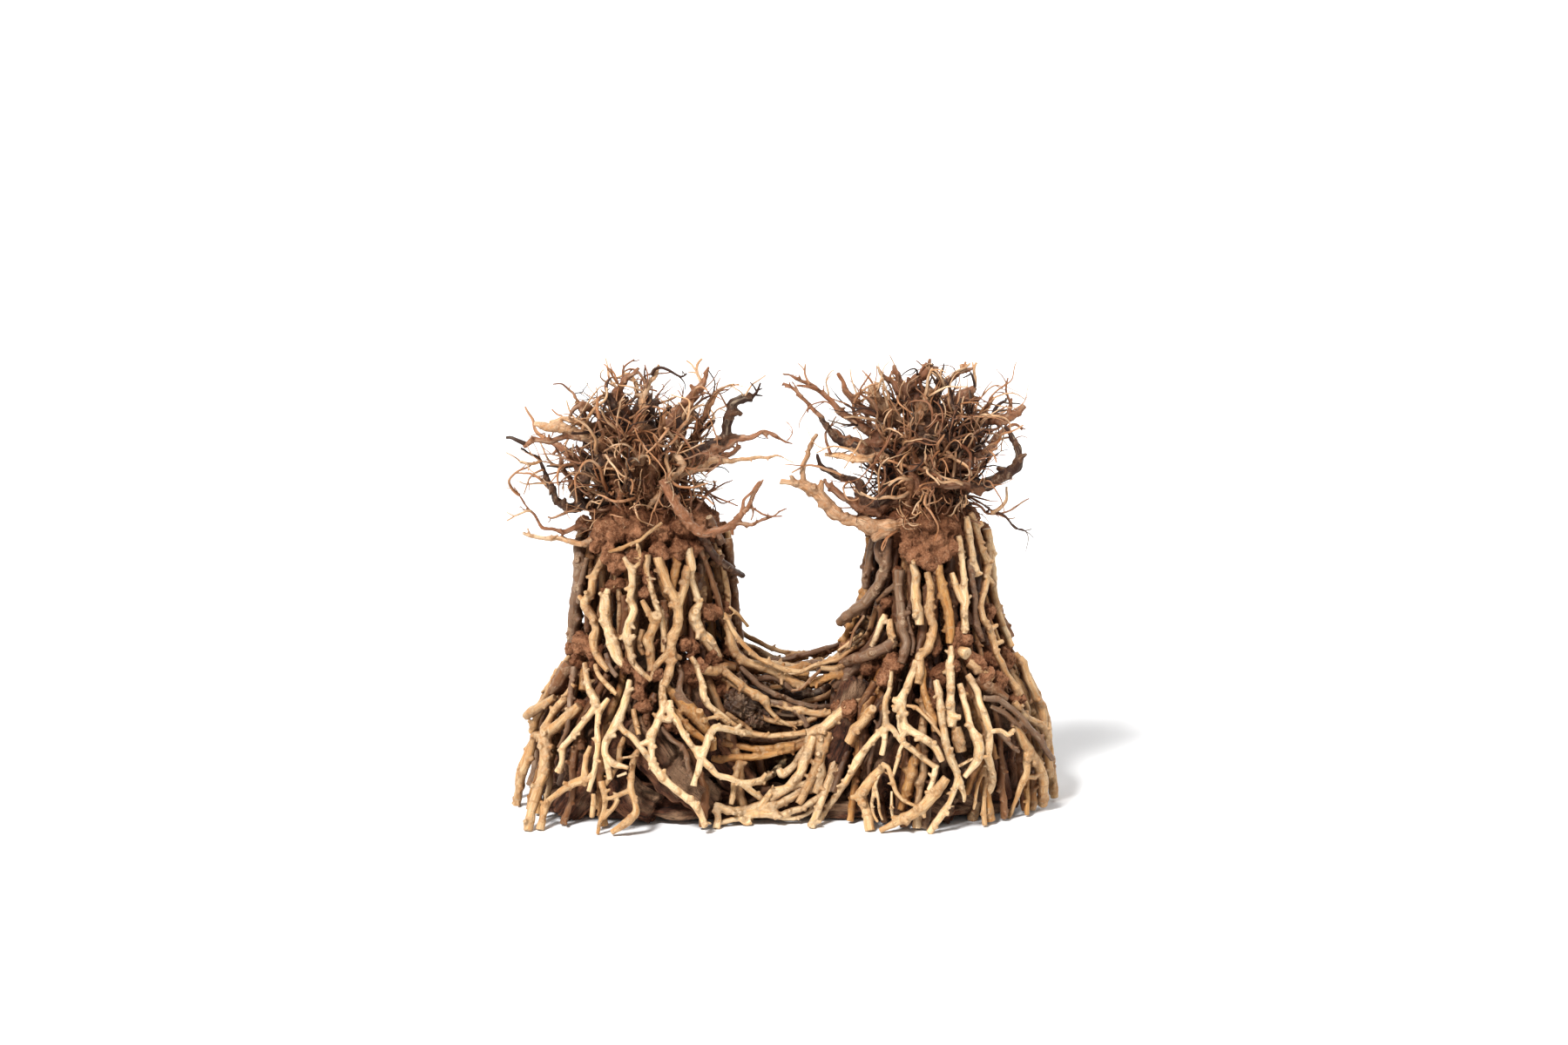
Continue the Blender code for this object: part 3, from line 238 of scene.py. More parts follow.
        [(-26, 86, 0, 1.7), (-24, 78, 0, 1.7), (-25, 70, 0, 1.9), (-24, 63, 0, 1.8), (-23, 58, 0, 2.6),
         (-19, 56, 0, 1.7), (-14, 50, 0, 1.9), (-8, 45, 0, 1.8), (-2, 40, 0, 1.7), (3, 36, 0, 1.9)],
        [(-23, 58, 0, 2), (-28, 51, 0, 2), (-33, 44, 0, 2), (-36, 38, 0, 2.6), (-40, 29, 0, 2.1),
         (-46, 18, 1, 2.1), (-51, 9, 2, 2.2), (-56, FOOT, 3, 2.2)],
        [(-23, 58, 0, 1.8), (-23, 50, 0, 1.6), (-24, 42, 0, 1.9)],
        [(2, 37, 0, 1.8), (1, 30, 0, 1.6), (-1, 24, 0, 1.9)]]),
    "right_skirt_knee_leg": ("tan", [
        [(-22, 38, 0, 1.8), (-25, 33, 0, 2.5), (-29, 27, 0, 3), (-32, 22, 0, 3.3), (-34, 18, 0, 3.3),
         (-31, 12, 0, 2.9), (-29, 7, 1, 2.9), (-27, FOOT, 3, 3.3)],
        [(-33, 18, 0, 2.4), (-38, 17, 2, 1.6)],
        [(-23, 37, 0, 1.5), (-20, 36, 1, 1.4), (-18, 30, 1, 1.5), (-16, 23, 1, 1.5), (-12, 18, 1, 1.2),
         (-8, 16, 1, 1.1), (-4, 15, 1, 0.9)]]),
    "right_skirt_web_leg": ("tan", [
        [(7, 31, 0, 2.6), (4, 27, 0, 3), (1, 22, 0, 3.2), (-3, 16, 0, 3.3), (-7, 12, 0, 3.3), (-12, 8, 0, 3),
         (-17, 5, 1, 2.2), (-22, 1.5, 5, 1.5)],
        [(3, 24, 0, 1.6), (-3, 23, 1, 1.2)],
        [(-4, 14, 0, 1.9), (-3, 9, 1, 1.2)],
        [(-14, 8, 0, 1.8), (-18, 9, 1, 1.4)]]),
    "right_skirt_white_post": ("cream", [
        [(3, 82, 0, 2), (4, 75, 0, 2.2), (5, 67, 0, 2.6), (6, 58, 0, 2.3), (7, 50, 0, 2.6), (9, 42, 0, 2.6),
         (11, 35, 0, 2.4), (13, 28, 0, 2.2), (15, 21, 0, 1.4), (15, 17, 0, 0.8)],
        [(12, 30, 0, 1.9), (10, 22, 0, 1.7), (8, 16, 0, 1.6), (5, 11, 0, 2.3), (3, 7, 0, 2.2),
         (-1, FOOT, 0, 2.1)],
        [(5, 12, 0, 1.9), (8, 11, 1, 1.4)]]),
    "right_skirt_flat_post": ("cream", [
        [(17, 80, 0, 1.8), (18, 72, 0, 2), (19, 64, 0, 2.1), (20, 57, 0, 2), (22, 52, 1, 3.1),
         (23, 46, 1, 3.3), (22, 40, 1, 2.6), (18, 35, 1, 1.9), (15, 31, 1, 1.7)]]),
    "right_skirt_flared_leg": ("cream", [
        [(23, 84, 0, 2), (26, 77, 0, 2), (27, 69, 0, 2.1), (29, 61, 0, 2.2), (30, 54, 0, 2.1),
         (29, 48, 0, 2.6), (28, 41, -1, 2.5), (31, 33, -4, 2.1), (34, 26, -8, 2.9), (34, 20, -11, 2.8),
         (32, 13, -16, 2.2), (31, 7, -20, 2.5), (30, FOOT, -23, 3.7)]]),
    "right_skirt_round_leg": ("tan", [
        [(46, 58, 0, 1.8), (50, 48, 0, 2.7), (55, 39, 0, 3.1), (62, 30, 0, 2.9), (67, 20, 0, 3.3),
         (70, 12, -2, 3.1), (76, 3, -4, 3.5)],
        [(53, 38, 0, 2.1), (54, 28, -2, 2.1), (53, 20, -5, 2), (52, 12, -8, 1.4), (50, FOOT, -13, 1.3)],
        [(55, 24, -3, 1.8), (62, 22, -2, 1.9)]]),
    "right_skirt_dark_arc": ("grey", [
        [(29, 72, 2, 1.8), (38, 70, 3, 2), (45, 64, 4, 1.8), (51, 55, 5, 1.8), (58, 46, 5, 2),
         (64, 37, 5, 1.7), (70, 31, 5, 1.8)],
        [(33, 67, 1, 1.5), (41, 62, 2, 1.6), (48, 54, 3, 1.5)]]),
    "right_skirt_back_leg": ("tan", [
        [(120, 84, 0, 2.8), (128, 64, 0, 3), (120, 42, 0, 3.4), (130, 22, 0, 3), (124, FOOT, 0, 2.8)],
        [(96, 66, 0, 2.2), (108, 52, 0, 2.4), (120, 40, 0, 2.6)]]),
    "right_skirt_back_fork": ("cream", [
        [(-172, 84, 0, 2.6), (-164, 62, 0, 2.8), (-172, 42, 0, 3.2), (-162, 22, 0, 2.6),
         (-168, FOOT, 0, 2.4)],
        [(-172, 42, 0, 2.6), (174, 26, 0, 2.2), (168, 8, 0, 2)]]),
    "right_skirt_back_side": ("grey", [
        [(-124, 86, 0, 2.8), (-116, 66, 0, 3), (-124, 44, 0, 3), (-114, 24, 0, 2.8), (-120, FOOT, 0, 2.6)]]),
}

# Smaller skin twigs with no CAD node of their own: one (tint, arm) each.
# Those sunk well below the skin take brown and dark tints: partly their own stain, partly painted shade.
SMALL_TWIGS = {
    "left_waist_small": [
        ("cream", [(-3, 150, -1, 2.3), (-4, 143, -1, 2.2), (-1, 136, -1, 1.9), (1, 129, -1, 1.8),
            (4, 121, -1, 1.9), (8, 112, -1, 2), (9, 104, -1, 1.8), (8, 96, -1, 1.6)]),
        ("amber", [(20, 150, -1, 2.6), (19, 142, -1, 2.6), (17, 134, -1, 2.3), (15, 127, -1, 1.8)]),
        ("brown", [(40, 151, 0, 1.7), (45, 142, 0, 1.6), (50, 134, 0, 1.7), (54, 125, 0, 1.8),
            (57, 116, 0, 2), (60, 108, 0, 2.2)]),
        ("dark", [(38, 162, 1, 2.1), (44, 153, 2, 2.2), (54, 144, 3, 2.2), (68, 137, 5, 2),
            (84, 131, 7, 1.9)]),
        ("grey", [(50, 168, 1, 2.2), (56, 160, 1, 2.5), (62, 152, 2, 2.9)]),
        ("cream", [(36, 106, 0, 2.4), (42, 101, 1, 2.9), (47, 96, 1, 2.2), (50, 90, 1, 1.9)]),
        ("tan", [(33, 86, 0, 2.4), (42, 84, 1, 2.9), (52, 85, 1, 2.6), (60, 83, 1, 2)]),
        ("grey", [(-34, 94, -1, 1.7), (-29, 88, 0, 1.7), (-22, 83, 0, 1.5)]),
        ("brown", [(-60, 138, -3, 1.9), (-58, 126, -3, 2), (-62, 114, -3, 2.1), (-58, 102, -3, 2.2)]),
        ("tan", [(62, 148, 0, 1.8), (68, 134, 0, 1.9), (72, 122, 0, 2), (66, 110, 0, 2.2), (72, 96, 0, 2.4)]),
        ("brown", [(10, 124, -4, 2.2), (9, 116, -4, 2.6), (11, 108, -4, 2.4), (9, 98, -4, 2.2)]),
        ("brown", [(-24, 126, -5, 2.4), (-22, 116, -5, 2.3), (-24, 106, -5, 2.5), (-22, 96, -4, 2.3)]),
        ("tan", [(-7, 108, -4, 2), (-9, 100, -3, 1.9), (-6, 94, -3, 1.7)]),
    ],
    "left_skirt_small": [
        ("cream", [(27, 93, 0, 1.7), (30, 87, 0, 1.9), (31, 80, 0, 2), (30, 73, 0, 2.3), (32, 67, 0, 1.9),
            (38, 62, 0, 1.8), (43, 57, 0, 1.5), (50, 51, 0, 1.3)]),
        ("grey", [(-57, 84, 1, 2.2), (-53, 76, 1, 1.9), (-49, 68, 1, 2), (-46, 60, 1, 1.7), (-47, 50, 0, 1.5),
            (-49, 42, 0, 1.3)]),
        ("brown", [(-66, 84, 0, 4), (-68, 76, 0, 4.2), (-73, 67, 0, 3.2)]),
        ("amber", [(-52, 83, -5, 3.8), (-47, 72, -5, 3.4)]),
        ("tan", [(-14, 52, -4, 1.5), (-16, 45, -4, 1.7), (-16, 38, -4, 1.6), (-19, 31, -3, 1.6),
            (-21, 26, -2, 1.4)]),
        ("tan", [(-10, 67, -2, 1.6), (-8, 60, -1, 1.7), (-6, 54, 0, 1.7)]),
        ("tan", [(-13, 42, 0, 0.7), (-9, 42.5, -1, 0.8), (-6, 43, -2, 0.7)]),
        ("cream", [(-15, 32, 0, 0.7), (-11, 34, -1, 0.9)]),
        ("grey", [(5, 58, -2, 1.4), (10, 51, -2, 1.5), (15, 47, -2, 1.5), (17, 42, -2, 1.6),
            (17, 36, -2, 1.4), (18, 30, -1, 1.5)]),
        ("amber", [(9, 78, -3, 2.2), (14, 73, -4, 2.9), (19, 68, -4, 4), (24, 63, -4, 4.6), (28, 57, -4, 4),
            (31, 50, -4, 3), (32, 43, -5, 2.5)]),
        ("amber", [(11, 68, -3, 1.8), (17, 60, -3, 2.2), (22, 54, -2, 2.3), (27, 49, -1, 1.8)]),
        ("tan", [(30, 61, 0, 1.1), (36, 61, 1, 1.3), (41, 56, 1, 1.2)]),
        ("grey", [(17, 92, -3, 1.7), (20, 84, -3, 1.9), (17, 76, -3, 1.8), (20, 70, -4, 1.6)]),
        ("tan", [(-39, 88, 1, 1.5), (-33, 82, 1, 1.6), (-26, 77, 0, 1.6), (-20, 74, 0, 1.5)]),
        ("brown", [(-31, 83, -4, 2.2), (-36, 70, -4, 2.6), (-42, 56, -5, 2.6), (-38, 42, -6, 2.4)]),
        ("tan", [(-84, 78, 0, 2.2), (-80, 66, 0, 2.4), (-86, 54, 0, 2.4), (-90, 40, 0, 2.2)]),
        ("grey", [(62, 80, 0, 2), (66, 68, 0, 2.2), (72, 56, -1, 2), (80, 44, -2, 2)]),
        ("brown", [(2, 74, -6, 2.2), (-3, 62, -6, 2.4), (1, 50, -7, 2.4)]),
        ("dark", [(-52, 64, -7, 2.6), (-55, 50, -7, 2.8), (-48, 36, -9, 2.8), (-52, 20, -10, 2.6)]),
    ],
    "right_waist_small": [
        ("cream", [(40, 168, 1, 1.9), (42, 158, 1, 2.3), (43, 150, 1, 2), (46, 142, 0, 2.3),
            (51, 134, 0, 2)]),
        ("grey", [(41, 144, -1, 2), (43, 134, -1, 2.3), (44, 125, -1, 2.1), (43, 115, -1, 1.9),
            (42, 107, -1, 2), (44, 99, -1, 1.7)]),
        ("tan", [(-35, 112, 0, 1.8), (-31, 104, 0, 2.6), (-28, 99, 0, 2.4)]),
        ("grey", [(-27, 101, 1, 3), (-38, 95, 2, 3.5), (-50, 90, 3, 3.3), (-62, 87, 4, 3),
            (-74, 84, 5, 2.8)]),
        ("grey", [(-21, 119, -1, 1.1), (-17, 109, -1, 1.2), (-13, 101, -1, 1.3), (-14, 94, -1, 1)]),
        ("cream", [(22, 96, -4, 3.3), (23, 95.5, 0, 3.4), (24, 95, 4, 3.6)]),
        ("cream", [(15, 99, 0, 1.6), (14, 94, 1, 2), (12, 90, 1, 2)]),
        ("cream", [(-40, 114, 0, 2), (-44, 104, 0, 2.2), (-47, 96, 0, 2)]),
        ("brown", [(2, 142, -4, 2.4), (5, 128, -4, 2.6), (2, 112, -4, 2.4), (6, 98, -4, 2.3)]),
        ("brown", [(-22, 138, -4, 2.4), (-19, 122, -4, 2.4), (-24, 106, -4, 2.4)]),
        ("tan", [(80, 150, 0, 2.4), (86, 134, 0, 2.6), (80, 118, 0, 2.4), (86, 102, 0, 2.3)]),
        ("grey", [(-78, 152, 0, 2.6), (-84, 138, 0, 2.6), (-78, 124, 0, 2.4)]),
        ("brown", [(36, 138, -4, 2.4), (34, 124, -4, 2.3), (37, 108, -4, 2.2)]),
    ],
    "right_skirt_small": [
        ("tan", [(-30, 67, 4, 2.7), (-33, 64, 1, 2.9), (-36, 59, 0, 3.1), (-40, 53, 0, 3.2),
            (-43, 46, 0, 2.9)]),
        ("cream", [(-23, 35, 0, 0.9), (-26, 26, 0, 1.1), (-25, 19, 0, 1), (-24, 11, 0, 0.9),
            (-22, 6, 0, 0.8)]),
        ("cream", [(-27, 25, 0, 1), (-28, 15, 0, 1.1), (-27, 9, 0, 1), (-24, 5, 1, 0.8)]),
        ("cream", [(-18, 23, 1, 0.8), (-18, 15, 1, 0.9), (-17, 7, 1, 0.9)]),
        ("amber", [(-5, 48, -6, 2.6), (-9, 38, -7, 3.1), (-11, 28, -7, 3.4), (-13, 18, -7, 3.1),
            (-15, 11, -6, 2.7)]),
        ("amber", [(-6, 89, -2, 2.2), (-5, 80, -2, 2.1), (-3, 72, -2, 2.3), (1, 64, -2, 2.4),
            (2, 55, -3, 2.2)]),
        ("tan", [(-14, 69, 0, 1.1), (-8, 68, 0, 1.3), (-3, 64, 0, 1.2), (1, 59, 0, 1.1), (5, 53, 0, 1.2)]),
        ("cream", [(-21, 69, 1, 1.1), (-17, 65, 1, 1.3), (-16, 58, 1, 1.2), (-13, 51, 1, 1.3),
            (-15, 46, 1, 1.2), (-16, 39, 1, 1.3), (-18, 31, 0, 1)]),
        ("cream", [(13, 92, 0, 2.4), (12, 85, 0, 2.8), (11, 76, 0, 2.3), (10, 69, 0, 2.8), (10, 63, 0, 3.2),
            (10, 58, 0, 2.4)]),
        ("tan", [(13, 57, -3, 3), (14, 51, -3, 3.7), (15, 44, -3, 3.3)]),
        ("cream", [(10, 64, 1, 1.8), (15, 63, 1, 1.7)]),
        ("cream", [(22, 41, 0, 0.8), (15, 38, 0, 0.9), (10, 36, 0, 0.8)]),
        ("cream", [(30, 54, 1, 1.5), (36, 54, 1, 1.3), (40, 51, 1, 1.4), (45, 53, 1, 1.6)]),
        ("tan", [(50, 67, 1, 2.1), (55, 59, 1, 2.3), (62, 54, 1, 2.1), (70, 50, 1, 2.4), (76, 44, 1, 2.5),
            (74, 36, 1, 2)]),
        ("grey", [(35, 53, 0, 1.4), (41, 46, 0, 1.5), (47, 40, 0, 1.2)]),
        ("tan", [(82, 30, 0, 2.4), (92, 23, 1, 2.8)]),
        ("brown", [(30, 81, -2, 3.2), (38, 75, -1, 3.6), (46, 69, 0, 2.8)]),
        ("tan", [(26, 90, -1, 3), (33, 86, 0, 3.4), (40, 80, 0, 2.6)]),
        ("brown", [(-38, 78, -5, 2.6), (-44, 64, -6, 2.6), (-38, 50, -7, 2.6), (-42, 34, -8, 2.4)]),
        ("dark", [(14, 72, -8, 2.8), (10, 56, -9, 2.8), (16, 38, -10, 2.8), (12, 20, -12, 2.6)]),
        ("tan", [(86, 84, 0, 2.4), (80, 70, 0, 2.4), (86, 54, 0, 2.6), (80, 36, 0, 2.4), (86, 16, 0, 2.2)]),
        ("grey", [(-70, 72, -2, 2.4), (-64, 58, -3, 2.4), (-72, 44, -4, 2.4)]),
        ("amber", [(-58, 40, 0, 2.6), (-62, 32, 0, 3), (-70, 24, 0, 3), (-80, 16, 0, 2.6)]),
    ],
}

# Twigs and roots that span free space: (tint, arms of (x, y, z, radius)).
FREE_TWIGS = {
    "saddle_long_twig": ("tan", [
        [(-33, -22, 114, 1.3), (-29, -24, 106, 1.5), (-26, -25, 102, 1.5), (-21, -26, 96, 1.6),
         (-14, -27, 90, 1.4), (-8, -27, 87, 1.6), (0, -26, 83.5, 1.5), (9, -25, 82, 1.3), (18, -24, 85, 1.2),
         (30, -23, 88.5, 1.3), (40, -22, 95, 1.3)]]),
    "saddle_main_twig": ("tan", [
        [(-36, -18, 116, 2.4), (-31, -19, 107, 2.8), (-29, -21, 99, 2.7), (-27, -22, 91, 3.1),
         (-20, -22, 86, 2.7), (-12, -22, 84, 2.6), (-4, -22, 80, 2.7), (5, -22, 76, 2.5),
         (12, -22, 72.5, 2.1)]]),
    "saddle_grey_twig": ("grey", [
        [(-24, -24, 84, 1.6), (-18, -26, 78, 1.8), (-13, -27, 73.5, 1.9), (-5, -28, 69, 1.7),
         (4, -28, 65.5, 1.8), (12, -27, 63, 1.8), (20, -25, 61.5, 1.7), (27, -23, 61.5, 1.8)]]),
    "saddle_tan_twig": ("tan", [
        [(-36, -30, 86, 2.2), (-32, -31, 83, 2.4), (-26, -32, 78, 2.4), (-18, -33, 72, 2.3),
         (-11, -33, 67, 3), (-8, -33, 62, 1.5), (-2, -33, 56, 1.2), (4, -33, 53.5, 1.2),
         (10, -32, 53.5, 1)]]),
    "saddle_junction": ("cream", [
        [(11, -33, 50, 2.2), (14, -33, 49, 3), (22, -33, 52, 3.3), (28, -32, 57, 3.7), (34, -31, 61, 4.2),
         (40, -29, 66, 3.8), (46, -27, 70, 3.6)],
        [(14, -33, 49, 3.2), (12, -35, 41, 3), (8, -36, 34, 2.7), (3, -37, 29, 2.5), (-1, -38, 26.5, 2.4),
         (-3, -38, 30, 2)],
        [(20, -33, 50, 3), (20, -36, 42, 3.5), (20, -38, 34, 2.9), (20, -39, 28, 3.2), (18, -41, 21, 3),
         (17, -42, 17, 2.2)],
        [(31, -32, 58, 2.2), (32, -34, 52, 1.8), (34, -35, 47.5, 1.9)],
        [(32, -34, 51, 1.4), (28, -35, 48, 1), (24, -36, 44.5, 1), (21, -36, 43, 0.8)]]),
    "saddle_foot_web": ("cream", [
        [(-37, -53, FOOT, 2.4), (-36, -51, 5, 2), (-37, -49, 11, 2.3), (-36, -48, 13.5, 1.8)],
        [(-37, -49, 12, 2.4), (-31, -47, 9.5, 2.4), (-24, -46, 9, 2.5), (-18, -45, 9.5, 2.8),
         (-13, -44, 11, 3.1), (-5, -43, 10.5, 2.6), (0, -42, 12.5, 2.7), (6, -41, 15.5, 2.8),
         (11, -40, 18, 2.9), (18, -39, 19.5, 2.8)],
        [(-36, -50, 2.5, 1.4), (-29, -48, 4, 1.6), (-22, -46, 5.5, 2), (-14, -45, 7.5, 2.8),
         (-7, -45, 6.5, 3), (-2, -45, 5, 2.4), (3, -45, 7.5, 2), (9, -45, 10, 1.9), (16, -44, 13.5, 2),
         (22, -42, 17, 1.9)],
        [(-1, -44, 4, 1.9), (6, -44, 3.5, 1.5), (12, -43, 5.5, 1.4), (18, -42, 9.5, 1.4)],
        [(-24, -47, 5, 2.4), (-21, -47, 2, 1.8), (-18, -47, 3, 2)],
        [(-13, -45, 11, 1.9), (-9, -45, 16, 1.7), (-7, -45, 18.5, 1.4)]]),
    "saddle_broad_branch": ("grey", [
        [(56, -22, 104, 3), (52, -22, 99, 3.4), (46, -22, 92, 3.9), (39, -22, 84, 4), (33, -22, 78, 3.9),
         (27, -22, 72.5, 2.8)],
        [(33, -22, 78, 2.4), (31, -23, 70, 2.2), (29, -23, 63, 1.9)]]),
    "left_side_root": ("root", [
        [(-66, -31, 190, 2.4), (-62, -33, 182, 2.8), (-57, -36, 174, 3), (-50, -38, 166, 2.8),
         (-43, -38, 162.5, 2.3), (-34, -38, 164, 2.2), (-27, -38, 167.5, 2.4), (-20, -38, 177, 1.4),
         (-15, -38, 186, 1), (-11, -38, 192, 0.6)],
        [(-26, -38, 167.5, 1.6), (-16, -38, 167, 1), (-7, -38, 171, 0.8), (2, -38, 176, 0.5)],
        [(-23, -38, 172, 1.4), (-22, -38, 181, 0.9), (-13, -38, 191, 0.6)],
        [(-20, -38, 177, 1), (-12, -39, 173, 0.6), (-1, -40, 172, 0.4)],
        [(-18, -38, 180, 0.8), (-17, -37, 172, 0.6), (-18, -37, 169, 0.4)]]),
    "right_glued_root": ("rind", [
        [(-2, -14, 186, 1.6), (5, -15, 185, 2.3), (12, -15, 183, 2.9), (19, -16, 179, 3.6),
         (23, -17, 174, 4.1), (28, -18, 169, 3.6), (34, -18, 166, 3.7), (41, -19, 164, 4),
         (49, -21, 162, 4.3), (58, -21, 162, 4.2), (67, -18, 164, 4)],
        [(12, -15, 183, 2), (10, -14, 191, 1.6), (13, -13, 203, 1.4), (18, -12, 212, 1.2)],
        [(19, -16, 180, 2.6), (21, -16, 187, 1.4)],
        [(57, -23, 159, 3.4), (48, -26, 156, 1.9)]]),
}

# Smaller twigs of the saddle with no CAD node of their own.
SADDLE_SMALL = [
    ("grey", [(-14, -20, 76, 1.8), (-9, -21, 78, 2.2), (-4, -21, 77, 2.6), (1, -22, 73, 2.2),
        (6, -23, 69.5, 1.6)]),
    ("grey", [(-8, -31, 66, 1.8), (-1, -31, 65, 2), (6, -31, 61.5, 1.8), (10, -31, 57, 1.9),
        (13, -32, 52, 2)]),
    ("tan", [(-32, -36, 61, 1.4), (-25, -36, 56, 1.7), (-18, -36, 51, 1.6)]),
    ("amber", [(-40, -38, 36, 1.8), (-35, -38, 35.5, 2.4), (-28, -38, 37, 2), (-18, -38, 36.5, 2.1),
        (-10, -37, 37.5, 2.3), (-3, -36, 38.5, 2), (6, -35, 41, 2), (12, -34, 43, 2)]),
    ("tan", [(-18, -36, 41, 1.2), (-10, -36, 40, 1.5), (-3, -35, 42.5, 1.5), (5, -34, 44, 1.5),
        (12, -34, 46.5, 1.5)]),
    ("tan", [(-30, -35, 53, 1.5), (-16, -36, 49, 1.7), (-2, -36, 48, 1.6), (12, -35, 50, 1.9)]),
    ("amber", [(-46, -36, 50, 2), (-30, -37, 44, 2.2), (-14, -37, 41, 2), (6, -36, 43, 1.8)]),
    ("tan", [(-22, -30, 62, 1.4), (-8, -32, 56, 1.6), (6, -32, 54, 1.5), (18, -30, 57, 1.7)]),
    ("grey", [(-30, -27, 66, 1.7), (-14, -28, 60, 1.9), (4, -28, 58, 1.7), (22, -27, 60, 1.6)]),
    ("brown", [(-38, -30, 50, 1.8), (-18, -31, 45, 2), (0, -31, 43, 1.9), (20, -30, 46, 1.8)]),
    ("tan", [(-34, -28, 79, 1.8), (-18, -30, 70, 2), (-2, -31, 64, 1.8), (14, -31, 60, 1.9),
        (26, -31, 60, 2.2)]),
    ("cream", [(16, -35, 48, 3), (13, -37, 38, 3.3), (9, -40, 28, 2.9), (2, -42, 20, 2.5), (-8, -44, 14, 2)]),
    ("tan", [(25, -34, 50, 2.6), (20, -38, 37, 2.8), (14, -42, 23, 2.6), (8, -45, 12, 2.3)]),
    ("tan", [(17, -22, 84.5, 1.1), (24, -22, 86.5, 1.3), (30, -21, 88.5, 1.2), (36, -20, 92, 1.4),
        (44, -18, 96, 1.4)]),
    ("tan", [(20, -24, 83.5, 1.5), (28, -24, 83, 1.9), (36, -23, 86, 2), (46, -22, 90, 2.2)]),
    ("dark", [(18, -18, 80, 1.8), (28, -18, 81, 2.3), (36, -17, 80, 2)]),
    ("amber", [(14, -26, 74.5, 1.6), (20, -26, 77.5, 2.2), (26, -25, 79, 2.3), (33, -24, 80, 2.3)]),
    ("brown", [(4, -29, 72, 0.9), (9, -29, 73, 1), (14, -29, 78, 1.1), (20, -29, 84, 1)]),
    ("tan", [(-30, -24, 118, 0.9), (-24, -20, 112, 1), (-20, -12, 104, 1)]),
    ("grey", [(35, -34, 39, 2), (31, -39, 29, 2.2), (27, -43, 18, 2.3)]),
    ("cream", [(30, -33, 43, 1.7), (27, -37, 32, 2.2), (23, -42, 20, 2.3), (19, -47, 10, 2.3),
        (15, -52, FOOT, 2.2)]),
    ("cream", [(-12, -44, 14, 1.4), (-5, -43, 19, 1.6), (2, -42, 21, 1.6), (10, -41, 22, 1.8),
        (16, -40, 24, 1.8)]),
    ("tan", [(42, -36, 40, 1.6), (42, -38, 35, 2), (43, -40, 30, 1.8)]),
    ("brown", [(36, -27, 96, 0.9), (38, -24, 104, 0.9), (44, -20, 112, 1)]),
    ("tan", [(30, -22, 93, 0.9), (36, -21, 97, 1.2), (43, -20, 102, 1.2)]),
    # The last three lie behind the others and take brown and dark tints: partly their own stain, partly
    # painted shade.
    ("brown", [(-26, -20, 62, 2.3), (-10, -21, 57, 2.7), (6, -21, 56, 2.6), (24, -20, 60, 2.4)]),
    ("dark", [(-30, -8, 70, 3), (-10, -10, 64, 3.3), (8, -10, 63, 3.3), (30, -8, 68, 3)]),
    ("brown", [(-28, -14, 50, 2.6), (-8, -15, 47, 2.8), (10, -15, 46, 2.8), (28, -14, 50, 2.6)]),
]
GREY_CHUNK = [("char", [(-33, -24, 68, 4.5), (-27, -25, 67, 6.5), (-21, -26, 63, 7), (-15, -26, 57, 6.5),
    (-10, -26, 52, 5)])]

